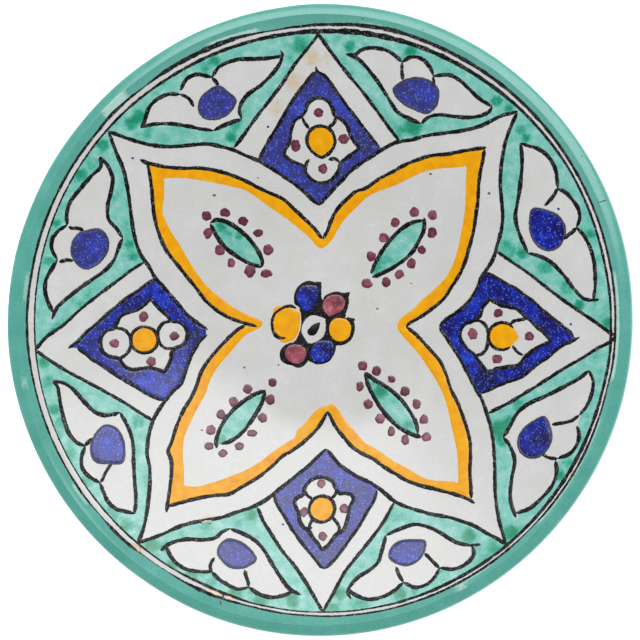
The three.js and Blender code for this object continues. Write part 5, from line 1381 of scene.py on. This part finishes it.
# ------------------------------------------------------------------------- the painting
def ring_line(radius):
    """Points every half degree round a ring line, with their angles."""
    degrees = np.arange(0, 360, 0.5)
    r, a = radius(degrees), np.radians(degrees)
    return degrees, np.stack([r * np.cos(a), r * np.sin(a)], axis=1)


def add_ring(builder, radius, widths, seed):
    """A closed ring line, whose width is a function of the angle."""
    degrees, points = ring_line(radius)
    line = smooth_line(points, True, RIBBON_STEP)
    bearing = np.degrees(np.arctan2(line[:, 1], line[:, 0])) % 360
    wide = np.interp(bearing, degrees, widths(degrees), period=360)
    add_ribbon(builder, points, wide, seed, closed=True, unsteady=0.16)


def add_field(node, material, outer, holes=(), height=FILM_HEIGHT):
    """A painted field in place of a CAD node."""
    builder = Builder()
    add_film(builder, outer, holes, height)
    builder.make_for(node, material)


def add_outer_ring():
    builder = Builder()
    add_ring(builder, outer_ring, lambda a: 1.25 * outer_ring_width(a) + 0.05, 1.0)
    builder.make_for("outer_ring_line", BLACK)


def add_star_and_tents():
    """The star, the tents, the lozenges' outer sides and the inner ring, which all touch."""
    builder = Builder()
    strokes = [(stroke, STAR_LINE) for stroke in STAR]
    strokes += [(stroke, TENT_LINE) for pair in TENTS for stroke in pair]
    strokes += [(stroke, LOZENGE_LINE) for lozenge in LOZENGES.values() for stroke in lozenge["sides"]]
    for seed, (stroke, width) in enumerate(strokes):
        add_ribbon(builder, stroke, width, seed + 0.5)
    add_ring(builder, inner_ring, lambda a: 1.12 * inner_ring_width(a), 2.0)
    builder.make_for("star_and_tent_lines", BLACK)
    builder = Builder()
    for seed, stroke in enumerate(INNER_STAR, len(strokes)):
        add_ribbon(builder, stroke, STAR_LINE, seed + 0.5)
    builder.make_for("inner_star_line", BLACK)


def add_saffron_band():
    outer = joined_outline([stroke[::-1] for stroke in INNER_STAR[::-1]])
    add_field("saffron_band", SAFFRON, outer, [joined_outline(SAFFRON_EDGE)])


def notch_to(stroke, corner, toward_tip):
    """The part of a stroke between the star's notch and the point nearest a corner."""
    line = smooth_line(stroke)
    at = int(np.argmin(np.hypot(*(line - np.array(corner)).T)))
    return line[:at + 1] if toward_tip else line[at:]


def boss_outlines(side):
    """A boss's field and the line round it."""
    x, y, wide, tall = LOZENGES[side]["boss"]
    around = np.linspace(0, 2 * math.pi, 40, endpoint=False)
    reach = 1 + BOSS_TIPS.get(side, 0) * np.exp(-((around - 1.5 * math.pi) / 0.4) ** 2)
    circle = np.stack([x + wide / 2 * reach * np.cos(around), y + tall / 2 * reach * np.sin(around)],
                      axis=1)
    if side not in OPEN_BOSSES:
        return circle, circle[::3]
    first, last, spill = OPEN_BOSSES[side]
    swell = np.exp(-(np.minimum(around, 2 * math.pi - around) / 0.5) ** 2)
    ragged = 1 + 0.05 * swell * np.cos(9 * around + 1.3)
    field = (x, y) + (circle - (x, y)) * ((1 + spill * swell) * ragged)[:, None]
    return field, circle[first:last:3]


def add_lozenges():
    """The four cobalt lozenges, each with a flower left white in it."""
    lines, dabs = Builder(), Builder()
    for number, (side, lozenge) in enumerate(LOZENGES.items()):
        first, second = STAR[2 * number], STAR[2 * number + 1]
        left, right = lozenge["sides"]
        outer = np.concatenate([
            smooth_line(left)[:-1], smooth_line(right)[:-1],
            notch_to(second, right[-1], True)[::-1][:-1],
            notch_to(first, left[0], False)[::-1][:-1],
        ])
        # The listed fields get the cobalt with painted glare.
        blue = COBALT_WITH_PAINTED_GLARE if side in PAINTED_GLARE_FIELDS else COBALT
        flower = smooth_line(lozenge["flower"], True)
        add_field("cobalt_lozenge_" + side, blue, outer, [flower])
        add_ribbon(lines, lozenge["flower"], FLOWER_LINE, 30.5 + number, closed=True)
        for k, arc in enumerate(lozenge["arcs"]):
            add_ribbon(lines, arc, FINE_LINE, 40.5 + 5 * number + k, taper=0.9)
        field, line = boss_outlines(side)
        add_field("saffron_boss_" + side, SAFFRON, field)
        add_ribbon(lines, line, FINE_LINE, 60.5 + number, closed=side not in OPEN_BOSSES)
        for k, dot in enumerate(lozenge["dots"]):
            add_blob(dabs, *dot, 70.5 + 5 * number + k)
    lines.make("flower_lines", "black_line", BLACK)
    dabs.make("flower_dots", "rose", MANGANESE)


def ground_outline(tent, side, number):
    """Tent side, star stroke and inner ring, end to end."""
    slope = smooth_line(TENTS[tent][side])
    stroke = smooth_line(STAR[number])
    if number % 2 == 0:
        stroke = stroke[::-1]
    at = int(np.argmin(np.hypot(*(stroke - slope[-1]).T)))
    stroke = stroke[at:]
    start = math.degrees(math.atan2(stroke[-1][1], stroke[-1][0]))
    end = math.degrees(math.atan2(slope[0][1], slope[0][0]))
    sweep = (end - start + 180) % 360 - 180
    degrees = start + np.linspace(0, sweep, max(8, int(abs(sweep) * 3)))
    r, a = inner_ring(degrees), np.radians(degrees)
    arc = np.stack([r * np.cos(a), r * np.sin(a)], axis=1)
    return np.concatenate([slope[:-1], stroke, arc])


def add_palmettes():
    """The eight white palmettes, each with a cobalt bud, on their turquoise grounds."""
    bud_lines = Builder()
    for number, (name, palmette) in enumerate(PALMETTES.items()):
        seed = 100.5 + 10 * number
        add_field("turquoise_ground_" + name, WASH, ground_outline(*GROUNDS[name]),
                  [joined_outline(palmette["outline"])])
        # The listed fields get the cobalt with painted glare.
        blue = COBALT_WITH_PAINTED_GLARE if name in PAINTED_GLARE_FIELDS else COBALT
        add_field("cobalt_bud_" + name, blue, smooth_line(palmette["bud"], True), height=0.07)
        lines = Builder()
        for k, stroke in enumerate(palmette["outline"]):
            add_ribbon(lines, stroke, PALMETTE_LINE, seed + k)
        for k, vein in enumerate(palmette["veins"]):
            add_ribbon(lines, vein, VEIN_LINE, seed + 6 + k, taper=0.9)
        add_ribbon(bud_lines, palmette["bud"], BUD_LINE, seed + 9, closed=True)
        lines.make_for("palmette_line_" + name, BLACK)
    bud_lines.make("bud_lines", "cobalt", NAVY)


def add_leaves():
    """The four leaves, with manganese dots round them."""
    dabs = Builder()
    for number, (name, leaf) in enumerate(LEAVES.items()):
        add_field("turquoise_leaf_" + name, LEAF_WASH, joined_outline(leaf["outline"]))
        lines = Builder()
        for k, stroke in enumerate(leaf["outline"]):
            add_ribbon(lines, stroke, LEAF_LINE, 200.5 + 3 * number + k)
        lines.make_for("leaf_line_" + name, BLACK)
        for k, dot in enumerate(leaf["dots"]):
            add_blob(dabs, *dot, 220.5 + 15 * number + k)
    dabs.make("manganese_dots", "rose", MANGANESE)


def add_rosette():
    """The flower in the middle: six petals on a black web, round an eye with its pupil."""
    looks = {"cobalt": COBALT, "rose": ROSE, "saffron": SAFFRON}
    eye = smooth_line(ROSETTE_EYE, True)
    add_field("rosette_web", THICK_BLACK, smooth_line(ROSETTE_WEB, True), [eye], 0.05)
    add_field("rosette_pupil", THICK_BLACK, smooth_line(ROSETTE_PUPIL, True), height=0.08)
    for name, outline in PETALS.items():
        colour = name.split("_")[0]
        add_field("petal_" + name, looks[colour], smooth_line(outline, True), height=0.09)
    line = Builder()
    add_ribbon(line, LEFT_PETAL_LINE, FINE_LINE, 300.5, height=0.13)
    line.make("rosette_line", "black_line", BLACK)


def add_specks():
    for kind, slot, material in (("cobalt", "cobalt", COBALT), ("brown", "fired_clay", BROWN)):
        specks = Builder()
        for k, (x, y, size, colour) in enumerate(SPECKS):
            if colour == kind:
                add_blob(specks, x, y, 2 * size, 1.7 * size, 400.5 + k, height=0.05, rough=0.15)
        specks.make(kind + "_specks", slot, material)


def add_chips():
    for kind, material in (("bare", BARE), ("brown", BROWN)):
        chips = Builder()
        for k, (x, y, long, wide, bearing, colour) in enumerate(CHIPS):
            if colour == kind:
                add_blob(chips, x, y, long, wide, 450.5 + k, height=0.13, rough=0.3,
                         turn=math.radians(bearing))
        chips.make(kind + "_chips", "fired_clay", material)


add_face()
add_rim()
drill([back_piece(), base_piece(), clay_piece()])
add_outer_ring()
add_star_and_tents()
add_saffron_band()
add_lozenges()
add_palmettes()
add_leaves()
add_rosette()
add_specks()
add_chips()

# ------------------------------------------------------------- floor, light, camera
bpy.ops.mesh.primitive_plane_add(size=6, location=(0, 0, -0.0002))
floor = bpy.context.object
floor.name = "floor"
sheet = Finish("paper_floor", 0.9, 0.2)
sheet.colour(sheet.ramp(sheet.grain(400, 1), (0.3, (0.9, 0.9, 0.9, 1)), (0.7, (0.92, 0.92, 0.92, 1))))
sheet.shader.inputs["Emission Color"].default_value = (1, 1, 1, 1)
sheet.shader.inputs["Emission Strength"].default_value = 0.6
floor.data.materials.append(sheet.material)

# The room is bright low down and dim overhead, so flat glaze shows its own colour, and a
# little brighter towards the south. Each change has the two directions it lies between.
WALL_TOP = (0.42, 0.56)
WALL_LIGHT = 0.95
CEILING_LIGHT = 0.13
SOUTH_WALL = (-0.75, -0.25)
SOUTH_LIGHT = 0.35
world = bpy.data.worlds.new("studio")
bpy.context.scene.world = world
world.use_nodes = True
background = world.node_tree.nodes["Background"]
background.inputs["Color"].default_value = (1, 1, 1, 1)
outlook = world.node_tree.nodes.new("ShaderNodeTexCoord")
parts = world.node_tree.nodes.new("ShaderNodeSeparateXYZ")
world.node_tree.links.new(outlook.outputs["Generated"], parts.inputs[0])


def gradient(axis, low, high, at_low, at_high):
    """A light level that changes from at_low to at_high between two directions."""
    made = world.node_tree.nodes.new("ShaderNodeMapRange")
    made.inputs["From Min"].default_value = low
    made.inputs["From Max"].default_value = high
    made.inputs["To Min"].default_value = at_low
    made.inputs["To Max"].default_value = at_high
    world.node_tree.links.new(parts.outputs[axis], made.inputs["Value"])
    return made.outputs[0]


both = world.node_tree.nodes.new("ShaderNodeMath")
world.node_tree.links.new(gradient("Z", *WALL_TOP, WALL_LIGHT, CEILING_LIGHT), both.inputs[0])
world.node_tree.links.new(gradient("Y", *SOUTH_WALL, SOUTH_LIGHT, 0), both.inputs[1])
world.node_tree.links.new(both.outputs[0], background.inputs["Strength"])

# One soft lamp high in the north lights the plate and gives the lip its bright band.
SOFTBOX_WIDE = 1.6
SOFTBOX_TALL = 0.74
SOFTBOX_RADIANCE = 4.8
SOFTBOX_DISTANCE = 1.4
SOFTBOX_SIDE = Vector((0.06, 0.47, 0.88)).normalized()
softbox_data = bpy.data.lights.new("softbox", "AREA")
softbox_data.shape = "RECTANGLE"
softbox_data.size = SOFTBOX_WIDE
softbox_data.size_y = SOFTBOX_TALL
softbox_data.energy = SOFTBOX_RADIANCE * math.pi * SOFTBOX_WIDE * SOFTBOX_TALL
softbox = bpy.data.objects.new("softbox", softbox_data)
bpy.context.scene.collection.objects.link(softbox)
softbox.location = SOFTBOX_SIDE * SOFTBOX_DISTANCE
softbox.rotation_mode = "QUATERNION"
softbox.rotation_quaternion = SOFTBOX_SIDE.to_track_quat("Z", "Y")

# The camera looks down at the plate, tilted a little towards the east.
CAMERA_TILT = math.radians(8)
CAMERA_BEARING = math.radians(-12)
CAMERA_DISTANCE = 1.100
CAMERA_LENS = 195.65
CAMERA_TARGET = Vector((0, 0, 0.02973))
CAMERA_SHIFT = (0.00093, -0.00013)
back = Vector((math.sin(CAMERA_TILT) * math.cos(CAMERA_BEARING),
               math.sin(CAMERA_TILT) * math.sin(CAMERA_BEARING), math.cos(CAMERA_TILT)))
right = Vector((0, 1, 0)).cross(back).normalized()
up = back.cross(right)
camera_data = bpy.data.cameras.new("camera")
camera_data.lens = CAMERA_LENS
camera_data.sensor_width = 36
camera = bpy.data.objects.new("camera", camera_data)
bpy.context.scene.collection.objects.link(camera)
camera.location = CAMERA_TARGET + back * CAMERA_DISTANCE + right * CAMERA_SHIFT[0] + up * CAMERA_SHIFT[1]
camera.rotation_mode = "QUATERNION"
camera.rotation_quaternion = Matrix((right, up, back)).transposed().to_quaternion()
bpy.context.scene.camera = camera
bpy.context.scene.view_settings.view_transform = "Standard"
